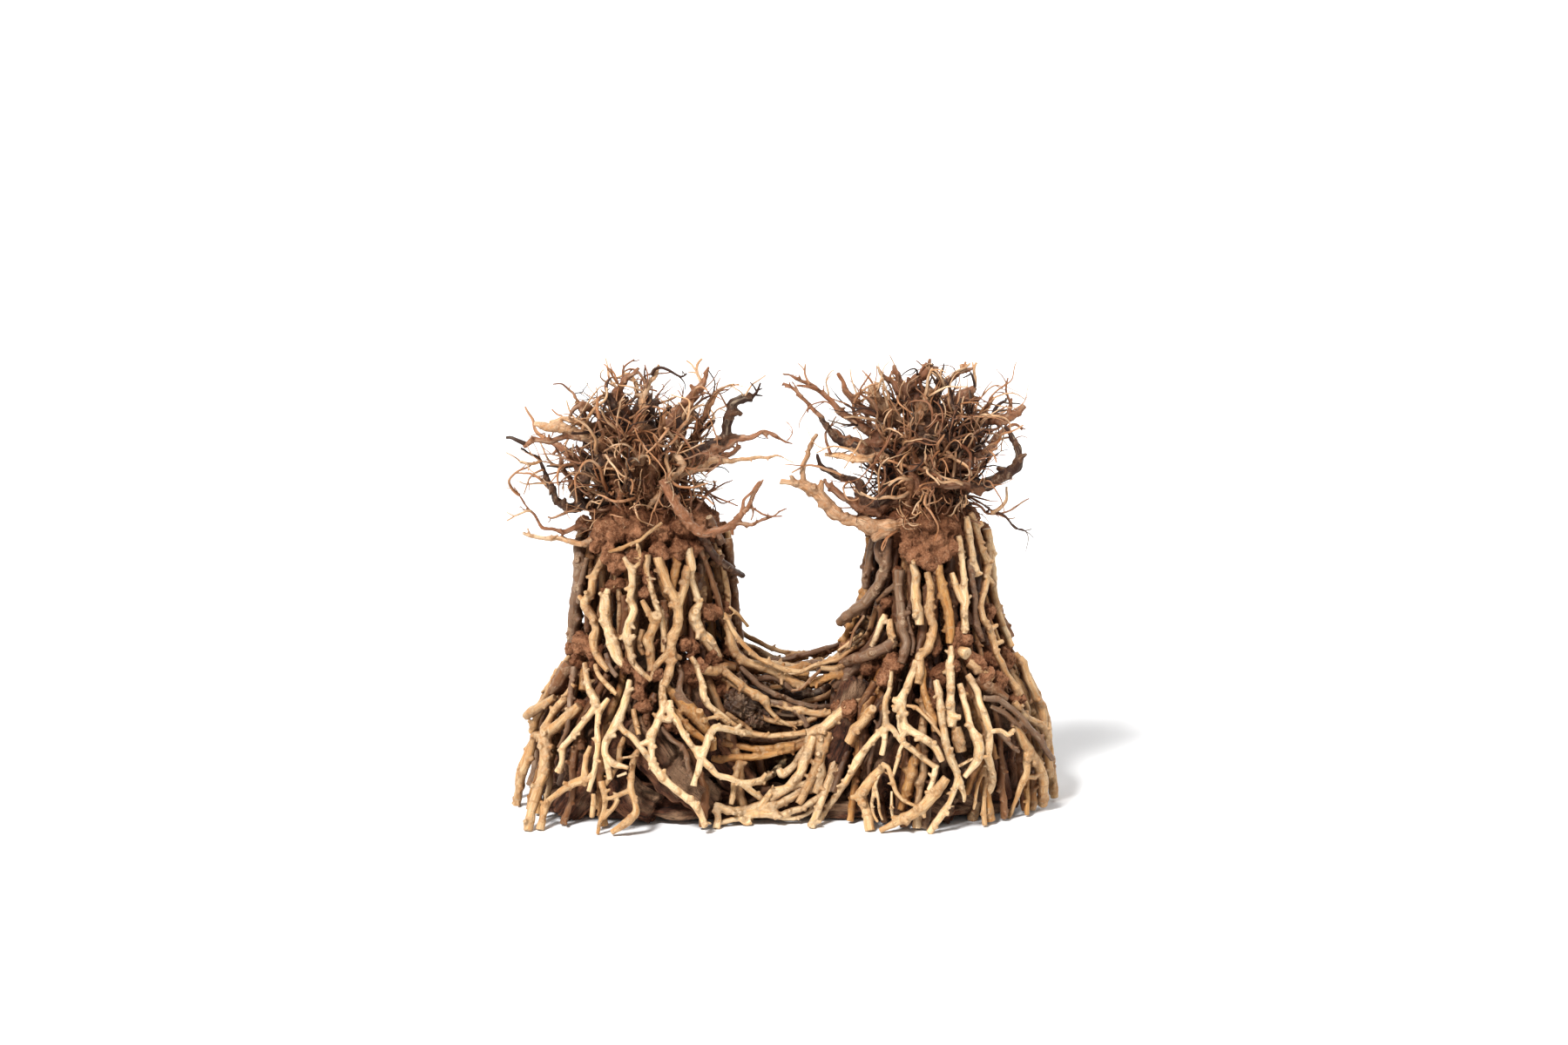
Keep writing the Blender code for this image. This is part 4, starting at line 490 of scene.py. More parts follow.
# Tangled middle of each crown: (z, x, reach). Then its roots, (tint, arm) each.
CROWN_CORE = {
    "left": [(166, -76, 26), (182, -76, 23), (195, -78, 21), (208, -78, 17), (220, -77, 13), (232, -76, 8)],
    "right": [(166, 76, 22), (186, 77, 24), (200, 78, 22), (214, 78, 19), (226, 76, 14), (236, 74, 8)],
}
CROWN_ROOTS = {
    "left": [
        ("root", [(-86, -5, 220, 4), (-92, -6, 231, 3), (-87, -8, 240, 2), (-79, -8, 248, 1)]),
        ("pale_root", [(-78, -14, 196, 3.2), (-80, -14, 212, 3), (-78, -12, 226, 2.4), (-74, -8, 240, 1.7),
            (-68, -4, 249, 1)]),
        ("root", [(-66, -4, 212, 4), (-56, -4, 224, 3), (-47, -5, 236, 2.3), (-41, -6, 248, 0.9)]),
        ("root", [(-88, -8, 210, 3.2), (-101, -11, 223, 2.6), (-110, -12, 229, 1.9), (-117, -12, 221, 1.3)]),
        ("root", [(-66, -10, 194, 4.4), (-48, -16, 199, 3.4), (-34, -16, 206, 2.6), (-20, -15, 211, 1.7),
            (-6, -14, 212, 1.2), (5, -14, 207, 0.7)]),
        ("pale_root", [(-66, -14, 186, 3.2), (-52, -18, 192, 2.6), (-40, -18, 198, 2.2), (-26, -17, 199, 1.5),
            (-10, -15, 199, 1.1), (-2, -14, 201, 0.8), (6, -14, 196, 0.5)]),
        ("black_root", [(-84, -10, 190, 5), (-97, -14, 198, 4.6), (-108, -16, 192, 3.8), (-112, -15, 180, 3),
            (-108, -14, 170, 2)]),
        ("root", [(-80, 10, 200, 4.6), (-90, 32, 212, 3), (-97, 48, 222, 1.6)]),
        ("root", [(-70, 10, 204, 4.6), (-60, 36, 214, 3), (-50, 54, 210, 1.5)]),
        ("root", [(-88, 6, 182, 4.2), (-112, 22, 190, 3), (-132, 30, 200, 1.4)]),
        ("root", [(-64, 8, 184, 4.2), (-44, 26, 186, 2.8), (-24, 34, 196, 1.4)]),
        ("black_root", [(-62, -12, 198, 3.4), (-50, -16, 201, 3), (-41, -16, 206, 2.8), (-33, -16, 212, 2.9),
            (-31, -15, 220, 2.9), (-29, -15, 228, 3), (-24, -15, 231, 2.8), (-17, -15, 232, 2.5)]),
        ("pale_root", [(-88, -8, 203, 3.6), (-104, -12, 208, 3.2), (-112, -13, 212, 3.3), (-120, -14, 215, 3),
            (-129, -14, 216.5, 2.6), (-136, -14, 218, 1.5)]),
        ("pale_root", [(-90, -6, 210, 2.4), (-104, -9, 216, 2.2), (-118, -10, 219, 1.8),
            (-128, -10, 218, 1.2)]),
        ("root", [(-112, -13, 211.5, 2), (-125, -15, 209, 1.7), (-135, -16, 210, 1.8),
            (-142, -16, 206, 1.9)]),
        ("black_root", [(-88, -6, 180, 4), (-104, -8, 172, 3.4), (-118, -10, 170, 2.9), (-125, -11, 175, 2.4),
            (-129, -11, 186, 1.8), (-133, -11, 197, 1.2), (-144, -11, 204, 0.7)]),
        ("root", [(-112, -9, 172.5, 2.4), (-117, -10, 184, 1.9), (-122, -12, 196, 1.4),
            (-125, -12, 205, 0.9)]),
        ("pale_root", [(-96, -14, 164, 2.6), (-108, -14, 152, 2.2), (-118, -14, 153, 1.8),
            (-130, -14, 154, 1.4), (-143, -14, 157, 1.2)]),
        ("root", [(-108, -12, 160, 2.6), (-122, -13, 158, 1.5), (-132, -13, 160, 1.1), (-139, -12, 170, 0.9),
            (-148, -12, 183, 0.5)]),
        ("root", [(-104, -12, 178, 2.6), (-113, -12, 186, 2.2), (-114, -12, 196, 1.5),
            (-118, -12, 203, 0.9)]),
        ("black_root", [(-60, -10, 206, 3), (-56, -10, 214, 3.4), (-57, -9, 222, 2.8)]),
        ("black_root", [(-84, -10, 216, 3.2), (-92, -12, 226, 3.2), (-96, -12, 234, 2)]),
        ("pale_root", [(-74, -22, 172, 1.6), (-62, -25, 190, 1.4), (-64, -22, 204, 1.2)]),
        ("pale_root", [(-60, -20, 202, 2.2), (-54, -22, 198, 2), (-62, -24, 188, 1.6)]),
    ],
    "right": [
        ("root", [(66, -4, 214, 4), (50, -6, 222, 2.8), (42, -8, 226, 2.6), (35, -8, 233, 2.1),
            (29, -8, 245, 1.1)]),
        ("root", [(62, -6, 206, 4), (44, -9, 214, 2.6), (30, -10, 225, 2), (22, -10, 233, 1.6),
            (15, -10, 238.5, 1.3), (5, -10, 242, 1), (-1, -10, 245, 0.7)]),
        ("black_root", [(60, -10, 184, 4), (50, -12, 172, 3.6), (43, -12, 175, 3.4), (40, -12, 184, 2.8),
            (37, -12, 187, 2.3), (30, -12, 189, 2), (21, -12, 193, 1.7), (18, -12, 201, 1.1)]),
        ("root", [(62, -8, 174, 3.6), (49, -14, 168, 2.6), (36, -15, 174, 2.2), (26, -15, 182, 1.8),
            (22, -15, 188, 1)]),
        ("root", [(70, -3, 224, 4.2), (67, -4, 234, 3), (74, -4, 242, 2.8), (79, -4, 246, 3),
            (84, -4, 246, 1.8)]),
        ("pale_root", [(62, -6, 220, 4), (51, -7, 228, 4.4), (49, -7, 238, 3.4)]),
        ("root", [(82, -3, 218, 4), (92, -4, 224, 4), (98, -5, 231, 3.8), (104, -6, 237, 2)]),
        ("root", [(88, -4, 208, 4), (104, -6, 215, 3), (113, -7, 218, 2.6), (121, -8, 220, 2.8),
            (126, -8, 223, 2.2), (131, -9, 227, 1.6)]),
        ("black_root", [(84, -6, 188, 4.6), (98, -10, 182, 4.2), (110, -14, 183, 4), (120, -16, 188, 3.5),
            (127, -17, 195, 3), (127.5, -17, 203, 2.2), (123, -16, 211, 1.6), (120, -15, 217, 1.1)]),
        ("root", [(80, 10, 200, 4.6), (90, 32, 214, 3), (94, 50, 224, 1.6)]),
        ("root", [(70, 10, 196, 4.6), (58, 34, 206, 3), (50, 52, 202, 1.5)]),
        ("root", [(88, 8, 188, 4.2), (110, 24, 194, 2.8), (124, 36, 206, 1.4)]),
        ("root", [(56, -8, 206, 3.6), (40, -10, 206, 3), (31, -11, 209, 2.2), (22, -11, 218, 1.6),
            (13, -11, 228, 1.3), (4, -11, 241, 0.7)]),
        ("black_root", [(56, -10, 200, 3.8), (42, -12, 203, 3.4), (33, -12, 206, 3), (26, -12, 212, 2),
            (20, -12, 220, 1.4)]),
        ("pale_root", [(58, -12, 198, 3), (44, -14, 199, 2.4), (34, -14, 200, 2), (22, -14, 201, 1.4)]),
        ("pale_root", [(72, -6, 216, 3.6), (76, -7, 226, 3.6), (80, -7, 236, 2.2)]),
        ("root", [(66, -6, 228, 2.2), (58, -6, 240, 1.6), (51, -6, 248, 0.9)]),
        ("root", [(68, -4, 230, 2.4), (62, -4, 240, 1.9), (60, -4, 249, 1.3)]),
        ("root", [(80, -4, 232, 2.2), (92, -4, 241, 1.8), (103, -4, 247, 1.1)]),
        ("black_root", [(82, -6, 228, 2), (84, -6, 238, 1.5), (87, -6, 250, 0.7)]),
        ("root", [(106, -8, 217, 2), (110, -8, 225, 1.6), (113, -8, 232, 1.4)]),
        ("root", [(122, -8, 221, 1.6), (124, -8, 231, 0.8)]),
        ("root", [(72, -18, 180, 3), (84, -20, 186, 2.8), (98, -16, 184, 2.6), (108, -14, 178, 1.6)]),
        ("black_root", [(66, -16, 206, 3), (84, -18, 212, 3), (96, -14, 206, 2.6), (104, -10, 200, 1.8)]),
        ("root", [(84, -12, 196, 3.4), (100, -14, 196, 3), (112, -12, 204, 2.2), (118, -10, 209, 1.2)]),
        ("root", [(100, -12, 174, 1), (112, -12, 168, 0.7), (124, -12, 169, 0.6), (134, -12, 176, 0.4)]),
    ],
}

# Paste: each body is a stack of (x, y, z, half width, half depth) rings with lumps on the skin of
# (bearing, height, lift, radius).
PASTE = {
    "left_collar": ([(-72, 0, 149, 33, 28), (-72, 0, 157, 36, 31), (-73, 0, 165, 34, 29),
        (-75, 0, 172, 27, 23)], [
        (-38, 147, -1, 6), (-30, 141, -2, 4.5), (-24, 146, -1, 6), (-10, 147, -1, 6), (-9, 141, -2, 4),
        (6, 150, -1, 6), (24, 152, -1, 7), (38, 152, -1, 5), (-52, 151, -3, 5), (-50, 160, -3, 6),
        (-32, 158, -3, 6), (-12, 160, -3, 6), (8, 162, -3, 6), (27, 164, -4, 6), (150, 150, -1, 8),
        (-150, 152, -1, 8), (110, 152, -1, 7), (180, 156, 0, 9), (-110, 156, 0, 8)]),
    "left_waist_filler": ([(-72, 2, 92, 15, 12), (-73, 2, 108, 14, 12), (-72, 2, 128, 13, 11),
        (-72, 2, 150, 20, 17)], [
        (-4, 136, -2, 4.5), (-5, 129, -2, 4), (-26, 133, -3, 4), (-33, 130, -3, 4), (-42, 127, -4, 3.5),
        (-59, 96, 1, 7), (-50, 98, 0, 6), (-44, 93, -1, 5), (45, 116, -1, 6), (53, 113, -2, 5.5),
        (26, 100, -1, 5), (31, 96, -1, 4.5), (-8, 84, 0, 5.5), (3, 85, 0, 5), (-16, 88, -1, 5),
        (-6, 76, -2, 5), (-5, 68, -3, 5), (68, 113, -2, 6.5), (35, 88, -1, 5.5), (48, 90, -1, 6),
        (170, 96, -2, 8), (-140, 102, -2, 7), (130, 98, -2, 7), (-48, 62, -4, 6), (-72, 72, -3, 7),
        (72, 92, -2, 6), (10, 60, -5, 6), (-70, 84, -6, 8), (-46, 83, -9, 8), (28, 84, -9, 8),
        (12, 93, -10, 7), (-24, 94, -10, 7), (96, 92, -4, 8), (112, 88, -3, 7), (150, 90, -3, 8),
        (-170, 92, -4, 9), (-152, 88, -3, 7), (-118, 90, -3, 8), (-98, 88, -4, 8)]),
    "right_collar": ([(80, 0, 149, 26, 22), (79, 0, 157, 28, 24), (78, 0, 165, 27, 23),
        (77, 0, 172, 22, 19)], [
        (-26, 150, -1, 6), (-14, 147, 0, 6), (0, 146, 0, 7), (14, 148, 0, 6), (26, 152, -1, 6),
        (-8, 154, -1, 6), (10, 156, -1, 6), (-26, 160, -2, 6), (27, 163, -3, 6), (150, 150, -1, 7),
        (-150, 152, -1, 7), (105, 152, -1, 7), (180, 156, 0, 8), (-100, 156, 0, 7), (0, 164, -2, 6)]),
    "right_waist_filler": ([(80, 2, 90, 13, 11), (80, 2, 108, 12, 10), (79, 2, 128, 11, 9),
        (79, 2, 150, 16, 13)], [
        (22, 104, -1, 5.5), (30, 101, -1, 5), (20, 97, -1, 4.5), (-25, 88, -1, 6), (-29, 82, -1, 5),
        (32, 88, -1, 6.5), (38, 82, -1, 6.5), (45, 76, -1, 6), (17, 88, -2, 5), (4, 96, -4, 4.5),
        (-45, 120, -2, 4.5), (62, 112, -2, 5.5), (170, 98, -2, 7), (-140, 100, -2, 7), (130, 96, -2, 7),
        (2, 70, -6, 6), (56, 66, -3, 6.5), (-52, 62, -3, 6.5), (-34, 138, -2, 4), (-48, 84, -7, 8),
        (-8, 86, -9, 8), (10, 82, -9, 8), (52, 88, -7, 7), (68, 84, -6, 8), (96, 92, -3, 7), (112, 88, -3, 7),
        (150, 90, -3, 7), (-170, 90, -4, 8), (-150, 86, -3, 7), (-116, 90, -3, 8), (-96, 88, -4, 7)]),
}
SADDLE_PASTE = [(19, -31, 45, 6), (24, -30, 53, 5), (30, -28, 62, 5), (14, -31, 44, 4), (20, -34, 33, 3.5),
    (-34, -26, 72, 6), (34, -22, 70, 6), (38, -24, 58, 6), (42, -20, 84, 5), (-38, -28, 84, 5)]

# Logs that lie along x: (x, y, z, half depth, half height).
LOG_RINGS = [(-131, 13, 15, 7, 10), (-124, 13, 18, 17, 17), (-100, 12, 21, 23, 21), (-70, 13, 21, 24, 21),
    (-35, 14, 19, 22, 19), (0, 13, 18, 22, 18), (35, 13, 19, 23, 19), (75, 12, 21, 24, 21),
    (105, 12, 20, 22, 20), (124, 12, 17, 16, 16), (132, 12, 15, 7, 9)]
SLAB_RINGS = [(-134, -12, 7, 9, 6), (-110, -22, 8, 14, 8), (-75, -28, 8, 15, 8), (-40, -28, 8, 15, 8),
    (0, -24, 8, 15, 8), (40, -26, 8, 15, 8), (80, -30, 9, 16, 9), (108, -24, 9, 15, 9), (130, -14, 7, 8, 6)]
# Slanted dark wood in each skirt: (x, y, z, radius) from foot to top.
STUMP_ARMS = {
    "left_stump": [
        [(-120, -30, 6, 10), (-108, -34, 26, 12), (-97, -28, 50, 13), (-84, -16, 80, 12)],
        [(-84, -40, 56, 8), (-70, -44, 40, 11), (-54, -44, 22, 11), (-38, -40, 8, 8)],
        [(-92, -44, 30, 8), (-84, -42, 14, 10), (-70, -42, 8, 8)],
        [(-56, -22, 84, 9), (-48, -26, 62, 11), (-36, -28, 38, 11), (-22, -26, 20, 9)],
        [(-84, 14, 20, 17), (-82, 14, 52, 18), (-76, 8, 84, 14)],
        [(-114, 4, 12, 13), (-112, 2, 42, 13), (-106, 0, 64, 12), (-96, 0, 84, 9)],
        [(-40, 6, 14, 13), (-44, 4, 44, 13), (-54, 2, 76, 11)],
    ],
    "right_stump": [
        [(36, -28, 6, 9), (52, -34, 22, 12), (64, -32, 46, 12), (76, -16, 80, 11)],
        [(104, -32, 8, 11), (98, -32, 30, 12), (92, -22, 56, 12), (84, -8, 84, 10)],
        [(66, -44, 24, 9), (78, -44, 14, 10), (94, -42, 8, 8)],
        [(40, -22, 76, 9), (34, -26, 56, 10), (26, -28, 36, 10), (16, -26, 20, 8)],
        [(92, 14, 20, 16), (90, 14, 52, 16), (82, 8, 84, 13)],
        [(58, 6, 14, 14), (58, 4, 46, 14), (66, 2, 78, 11)],
        [(118, 4, 12, 12), (117, 2, 40, 13), (112, 0, 62, 12), (102, 0, 84, 9)],
    ],
}
HEARTWOOD_ARM = [(121, -19, 8, 6.5), (117, -22, 24, 7.5), (112, -25, 40, 7.5), (107, -26, 54, 6)]


# ---------------------------------------------------------------- curves
def side_of(name):
    return name.split("_")[0]


def skin_point(side, bearing, height, lift):
    """Spot on a trunk's skin: bearing in degrees from the front, lift outward."""
    reach = float(np.interp(height, *zip(*SKIN[side]))) + lift
    angle = math.radians(bearing)
    return (MIDDLE_X[side] + reach * math.sin(angle), -DEPTH_RATIO * reach * math.cos(angle), height)


def on_skin(side, stations):
    return [skin_point(side, bearing, height, lift) + (radius,) for bearing, height, lift, radius in stations]


def sample_arm(stations):
    """Curve through the stations with a slight kink at each, in equal steps; rows are x, y, z, radius."""
    rows = np.array(stations, dtype=float)
    padded = np.vstack([2 * rows[0] - rows[1], rows, 2 * rows[-1] - rows[-2]])
    padded[[0, -1], 3] = rows[[0, -1], 3]
    t = np.linspace(0, 1, 12, endpoint=False)[:, None]
    fine = [KINK * (b + (c - b) * t) + (1 - KINK) * 0.5 * (
        2 * b + (c - a) * t + (2 * a - 5 * b + 4 * c - d) * t ** 2 + (3 * b - a - 3 * c + d) * t ** 3)
        for a, b, c, d in zip(padded, padded[1:], padded[2:], padded[3:])]
    fine = np.vstack(fine + [rows[-1:]])
    run = arc_length(fine)
    cuts = np.linspace(0, run[-1], max(3, int(run[-1] / CURVE_STEP) + 1))
    return np.column_stack([np.interp(cuts, run, column) for column in fine.T])


def arc_length(rows):
    return np.concatenate([[0], np.cumsum(np.linalg.norm(np.diff(rows[:, :3], axis=0), axis=1))])


def wave(run, seed, length):
    """Smooth noise along a curve, about -1 to 1."""
    return np.array([noise.noise(Vector((s / length, seed * 3.7 + 0.31, seed * 1.3))) for s in run]) * 1.7


def crook(rows, seed, wander, swell, length=9.0):
    """Small crooks and swellings; both ends stay where they are."""
    run = arc_length(rows)
    hold = np.minimum(1, np.minimum(run, run[-1] - run) / 4)
    out = rows.copy()
    for axis in range(3):
        out[:, axis] += wander * hold * wave(run, seed + 11 * axis, length)
    out[:, 3] *= 1 + swell * wave(run, seed + 41, 4.5)
    return out


def scatter(rng, x=1, y=1, z=1):
    return Vector((rng.gauss(0, x), rng.gauss(0, y), rng.gauss(0, z)))


def knuckles(rows, rng, stub_chance, reach):
    """Kinks a twig at its nodes. Returns the rows, and the buds and broken side shoots on the nodes."""
    run = arc_length(rows)
    shoots = []
    at = rng.uniform(3, 8)
    while at < run[-1] - 3:
        k = int(np.searchsorted(run, at))
        rows[:, 3] *= 1 + rng.uniform(0.03, 0.16) * np.exp(-((run - at) / 2.0) ** 2)
        shove = scatter(rng).normalized() * rng.uniform(0.2, 0.8)
        rows[:, :3] += np.maximum(0, 1 - np.abs(run - at) / 5.5)[:, None] * np.array(shove)
        thick = float(rows[k, 3])
        along = (Vector(rows[min(k + 1, len(rows) - 1), :3]) - Vector(rows[k - 1, :3])).normalized()
        for broken in ([True] if rng.random() < stub_chance else []) + [False]:
            side = Vector((rng.gauss(0, 1), rng.gauss(-0.5, 1), rng.gauss(0, 1)))
            side = (side - side.dot(along) * along).normalized()
            aim = (side + along * rng.choice((-1, 1)) * rng.uniform(0.2, 0.9)).normalized()
            long = thick + (reach * rng.uniform(0.35, 1) if broken else rng.uniform(0.4, 1.3))
            wide = thick * (rng.uniform(0.36, 0.56) if broken else rng.uniform(0.4, 0.62))
            root = Vector(rows[k, :3])
            shoots.append(np.array([tuple(root + aim * long * t) + (wide * (1.3 - 0.4 * t), KNOT_MARK)
                                    for t in (0, 0.35, 0.7, 1)]))
        at += rng.uniform(5, 12)
    return rows, shoots


# ---------------------------------------------------------------- tubes, remesh and surface detail
def frames(rows):
    """Tangent, normal and binormal at each row, carried along without twist."""
    tangents = np.gradient(rows[:, :3], axis=0)
    tangents /= np.linalg.norm(tangents, axis=1)[:, None] + 1e-9
    side = np.cross(tangents[0], (0.31, 0.17, 0.93))
    normals = []
    for tangent in tangents:
        side = side - tangent * side.dot(tangent)
        side = side / (np.linalg.norm(side) + 1e-9)
        normals.append(side)
    normals = np.array(normals)
    return tangents, normals, np.cross(tangents, normals)


def ring_faces(count, sides):
    """Skin and both end caps of a stack of rings."""
    last = (count - 1) * sides
    faces = [(start + k, start + (k + 1) % sides, start + sides + (k + 1) % sides, start + sides + k)
             for start in range(0, last, sides) for k in range(sides)]
    return faces + [tuple(range(sides))[::-1], tuple(range(last, last + sides))]


def tube(rows, sides):
    """Closed tube round rows of x, y, z, radius."""
    _, normals, binormals = frames(rows)
    turn = np.linspace(0, 2 * math.pi, sides, endpoint=False)
    ring = (np.cos(turn)[None, :, None] * normals[:, None] + np.sin(turn)[None, :, None] * binormals[:, None])
    verts = (rows[:, None, :3] + ring * rows[:, None, 3:4]).reshape(-1, 3)
    return verts, ring_faces(len(rows), sides)


def lathe(rings, sides, rough, seed):
    """Closed rough body round a stack of (x, y, z, half width, half depth) rings, finely spaced."""
    rows = np.array(rings, dtype=float)
    steps = np.linspace(0, len(rows) - 1, 5 * len(rows))
    rows = np.column_stack([np.interp(steps, np.arange(len(rows)), column) for column in rows.T])
    verts = []
    for x, y, z, wide, deep in rows:
        for k in range(sides):
            turn = 2 * math.pi * k / sides
            spot = Vector((math.cos(turn) * 1.6 + seed, math.sin(turn) * 1.6, z * 0.06))
            grow = 1 + rough * noise.noise(spot) * 1.6
            verts.append((x + wide * grow * math.cos(turn), y + deep * grow * math.sin(turn), z))
    return np.array(verts), ring_faces(len(rows), sides)


def ball(centre, radius, seed, squash=0.8):
    """Lumpy closed ball."""
    shell = bmesh.new()
    bmesh.ops.create_icosphere(shell, subdivisions=3, radius=1.0)
    verts = np.array([v.co[:] for v in shell.verts])
    faces = [tuple(v.index for v in f.verts) for f in shell.faces]
    shell.free()
    grow = np.array([1 + 0.35 * noise.noise(Vector(v) * 1.4 + Vector((seed, 0, 0))) for v in verts])
    return verts * grow[:, None] * radius * np.array((1, squash, 1)) + np.array(centre), faces


def join_parts(parts):
    verts, faces, start = [], [], 0
    for part_verts, part_faces in parts:
        verts.append(part_verts)
        faces.extend(tuple(i + start for i in face) for face in part_faces)
        start += len(part_verts)
    return np.vstack(verts), faces


def make_object(name, verts, faces):
    data = bpy.data.meshes.new(name)
    data.from_pydata((verts * MM).tolist(), [], faces)
    data.update()
    item = bpy.data.objects.new(name, data)
    bpy.context.scene.collection.objects.link(item)
    return item


def melt(name, parts, voxel, rounds):
    """Joins crossing closed parts into one skin, with soft webs where they meet."""
    item = make_object(name, *join_parts(parts))
    step = item.modifiers.new("melt", "REMESH")
    step.mode = "VOXEL"
    step.voxel_size = voxel * MM
    ease = item.modifiers.new("ease", "SMOOTH")
    ease.factor, ease.iterations = 0.5, rounds
    whole = bpy.data.meshes.new_from_object(item.evaluated_get(bpy.context.evaluated_depsgraph_get()))
    item.modifiers.clear()
    item.data = whole
    return item


def vertex_table(item):
    """Spots in mm and unit normals of all the vertices."""
    count = len(item.data.vertices)
    spots, normals = np.empty(count * 3), np.empty(count * 3)
    item.data.vertices.foreach_get("co", spots)
    item.data.vertex_normals.foreach_get("vector", normals)
    return spots.reshape(-1, 3) / MM, normals.reshape(-1, 3)


def push_surface(item, spots, normals, push):
    """Moves the surface along its normals by push, and never below the floor."""
    moved = spots + normals * push[:, None]
    moved[:, 2] = np.maximum(moved[:, 2], ABOVE_FLOOR)
    item.data.vertices.foreach_set("co", (moved * MM).ravel())
    item.data.update()


def set_attributes(item, **layers):
    """Writes one value per vertex for each name: a number, a vector, or a colour for the tint."""
    for name, values in layers.items():
        kind, key = ("FLOAT", "value") if values.ndim == 1 else ("FLOAT_VECTOR", "vector")
        if name == "tint":
            kind, key = "FLOAT_COLOR", "color"
            values = np.column_stack([values, np.ones(len(values))])
        layer = item.data.attributes.new(name, kind, "POINT")
        layer.data.foreach_set(key, np.ascontiguousarray(values, dtype=np.float32).ravel())


def follow(item, chains):
    """Gives each vertex its place along, round and across the nearest chain.

    Chains are (rows, tint, seed, sawn): sawn is how pale the end discs are, 0 on buds."""
    tree_rows = np.vstack([rows if rows.shape[1] == 5 else np.column_stack([rows, np.zeros(len(rows))])
                           for rows, *_ in chains])
    owner = np.concatenate([np.full(len(rows), i) for i, (rows, *_) in enumerate(chains)])
    place = np.concatenate([np.arange(len(rows)) for rows, *_ in chains])
    tree = kdtree.KDTree(len(tree_rows))
    for i, row in enumerate(tree_rows):
        tree.insert(row[:3], i)
    tree.balance()
    spots, normals = vertex_table(item)
    near = np.array([tree.find(spot)[1] for spot in spots])
    tangents, sides, ups = (np.vstack(axes)[near] for axes in zip(*(frames(rows) for rows, *_ in chains)))
    runs = np.concatenate([arc_length(rows) + 37.0 * seed for rows, _, seed, _ in chains])[near]
    offset = spots - tree_rows[near, :3]
    along = (offset * tangents).sum(1)
    grain = np.column_stack([runs + along, (offset * sides).sum(1), (offset * ups).sum(1)])
    owner = owner[near]
    lasts = np.array([len(rows) - 1 for rows, *_ in chains])[owner]
    sawn = np.array([share for *_, share in chains])[owner]
    at_end = np.where(place[near] == lasts, along, np.where((place[near] == 0) & (sawn == 1), -along, 0))
    facing = np.abs((normals * tangents).sum(1))
    cut = sawn * np.clip((at_end + 0.3) * 2, 0, 1) * np.clip((facing - 0.5) * 3, 0, 1)
    tints = np.array([TINTS[tint] for _, tint, *_ in chains])[owner]
    seeds = np.array([seed for _, _, seed, _ in chains])[owner]
    return spots, normals, grain, cut, tints, seeds, tree_rows[near, 3:]


def carve(item, spots, normals, grain, thick, ridge, lump):
    """Lengthwise ridges and soft lumps in the surface, never deeper than a share of the twig."""
    push = np.array([
        ridge * noise.noise(Vector((g[0] * 0.13, g[1] * 0.9, g[2] * 0.9)))
        + lump * noise.noise(Vector((s[0] * 0.33, s[1] * 0.33, s[2] * 0.33)))
        for g, s in zip(grain, spots)])
    push_surface(item, spots, normals, push * np.minimum(1, thick / 2.2))


def finish_piece(item, material, node_names):
    item.data.materials.clear()
    item.data.materials.append(material)
    item.data.polygons.foreach_set("use_smooth", [True] * len(item.data.polygons))
    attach(item, "root")
    if node_names:
        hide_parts(*node_names)
    BUILT.append(item)


def shade_hollows(items):
    """Writes on every piece how crowded the space off its surface is, 0 in the open and 1 deep between twigs,
    for the painted shade in the hollows.
    """
    cell, reach = HOLLOW_CELL, HOLLOW_REACH
    tables = [vertex_table(item) for item in items]
    grid = np.zeros(((GRID_HIGH - GRID_LOW) / cell).astype(int) + 1)
    for spots, _ in tables:
        grid[tuple(((spots - GRID_LOW) / cell).astype(int).T)] = 1
    for axis in range(3):
        total = np.cumsum(np.insert(grid, 0, 0, axis), axis)
        size = grid.shape[axis]
        upper = np.minimum(np.arange(size) + reach + 1, size)
        lower = np.maximum(np.arange(size) - reach, 0)
        grid = (np.take(total, upper, axis) - np.take(total, lower, axis)) / (2 * reach + 1)
    for item, (spots, normals) in zip(items, tables):
        place = (spots + HOLLOW_AHEAD * normals - GRID_LOW) / cell
        place = np.clip(place, 0, np.array(grid.shape) - 1).astype(int)
        crowd = grid[tuple(place.T)]
        set_attributes(item, hollow=np.clip((crowd - HOLLOW_FROM) / (HOLLOW_TO - HOLLOW_FROM), 0, 1))


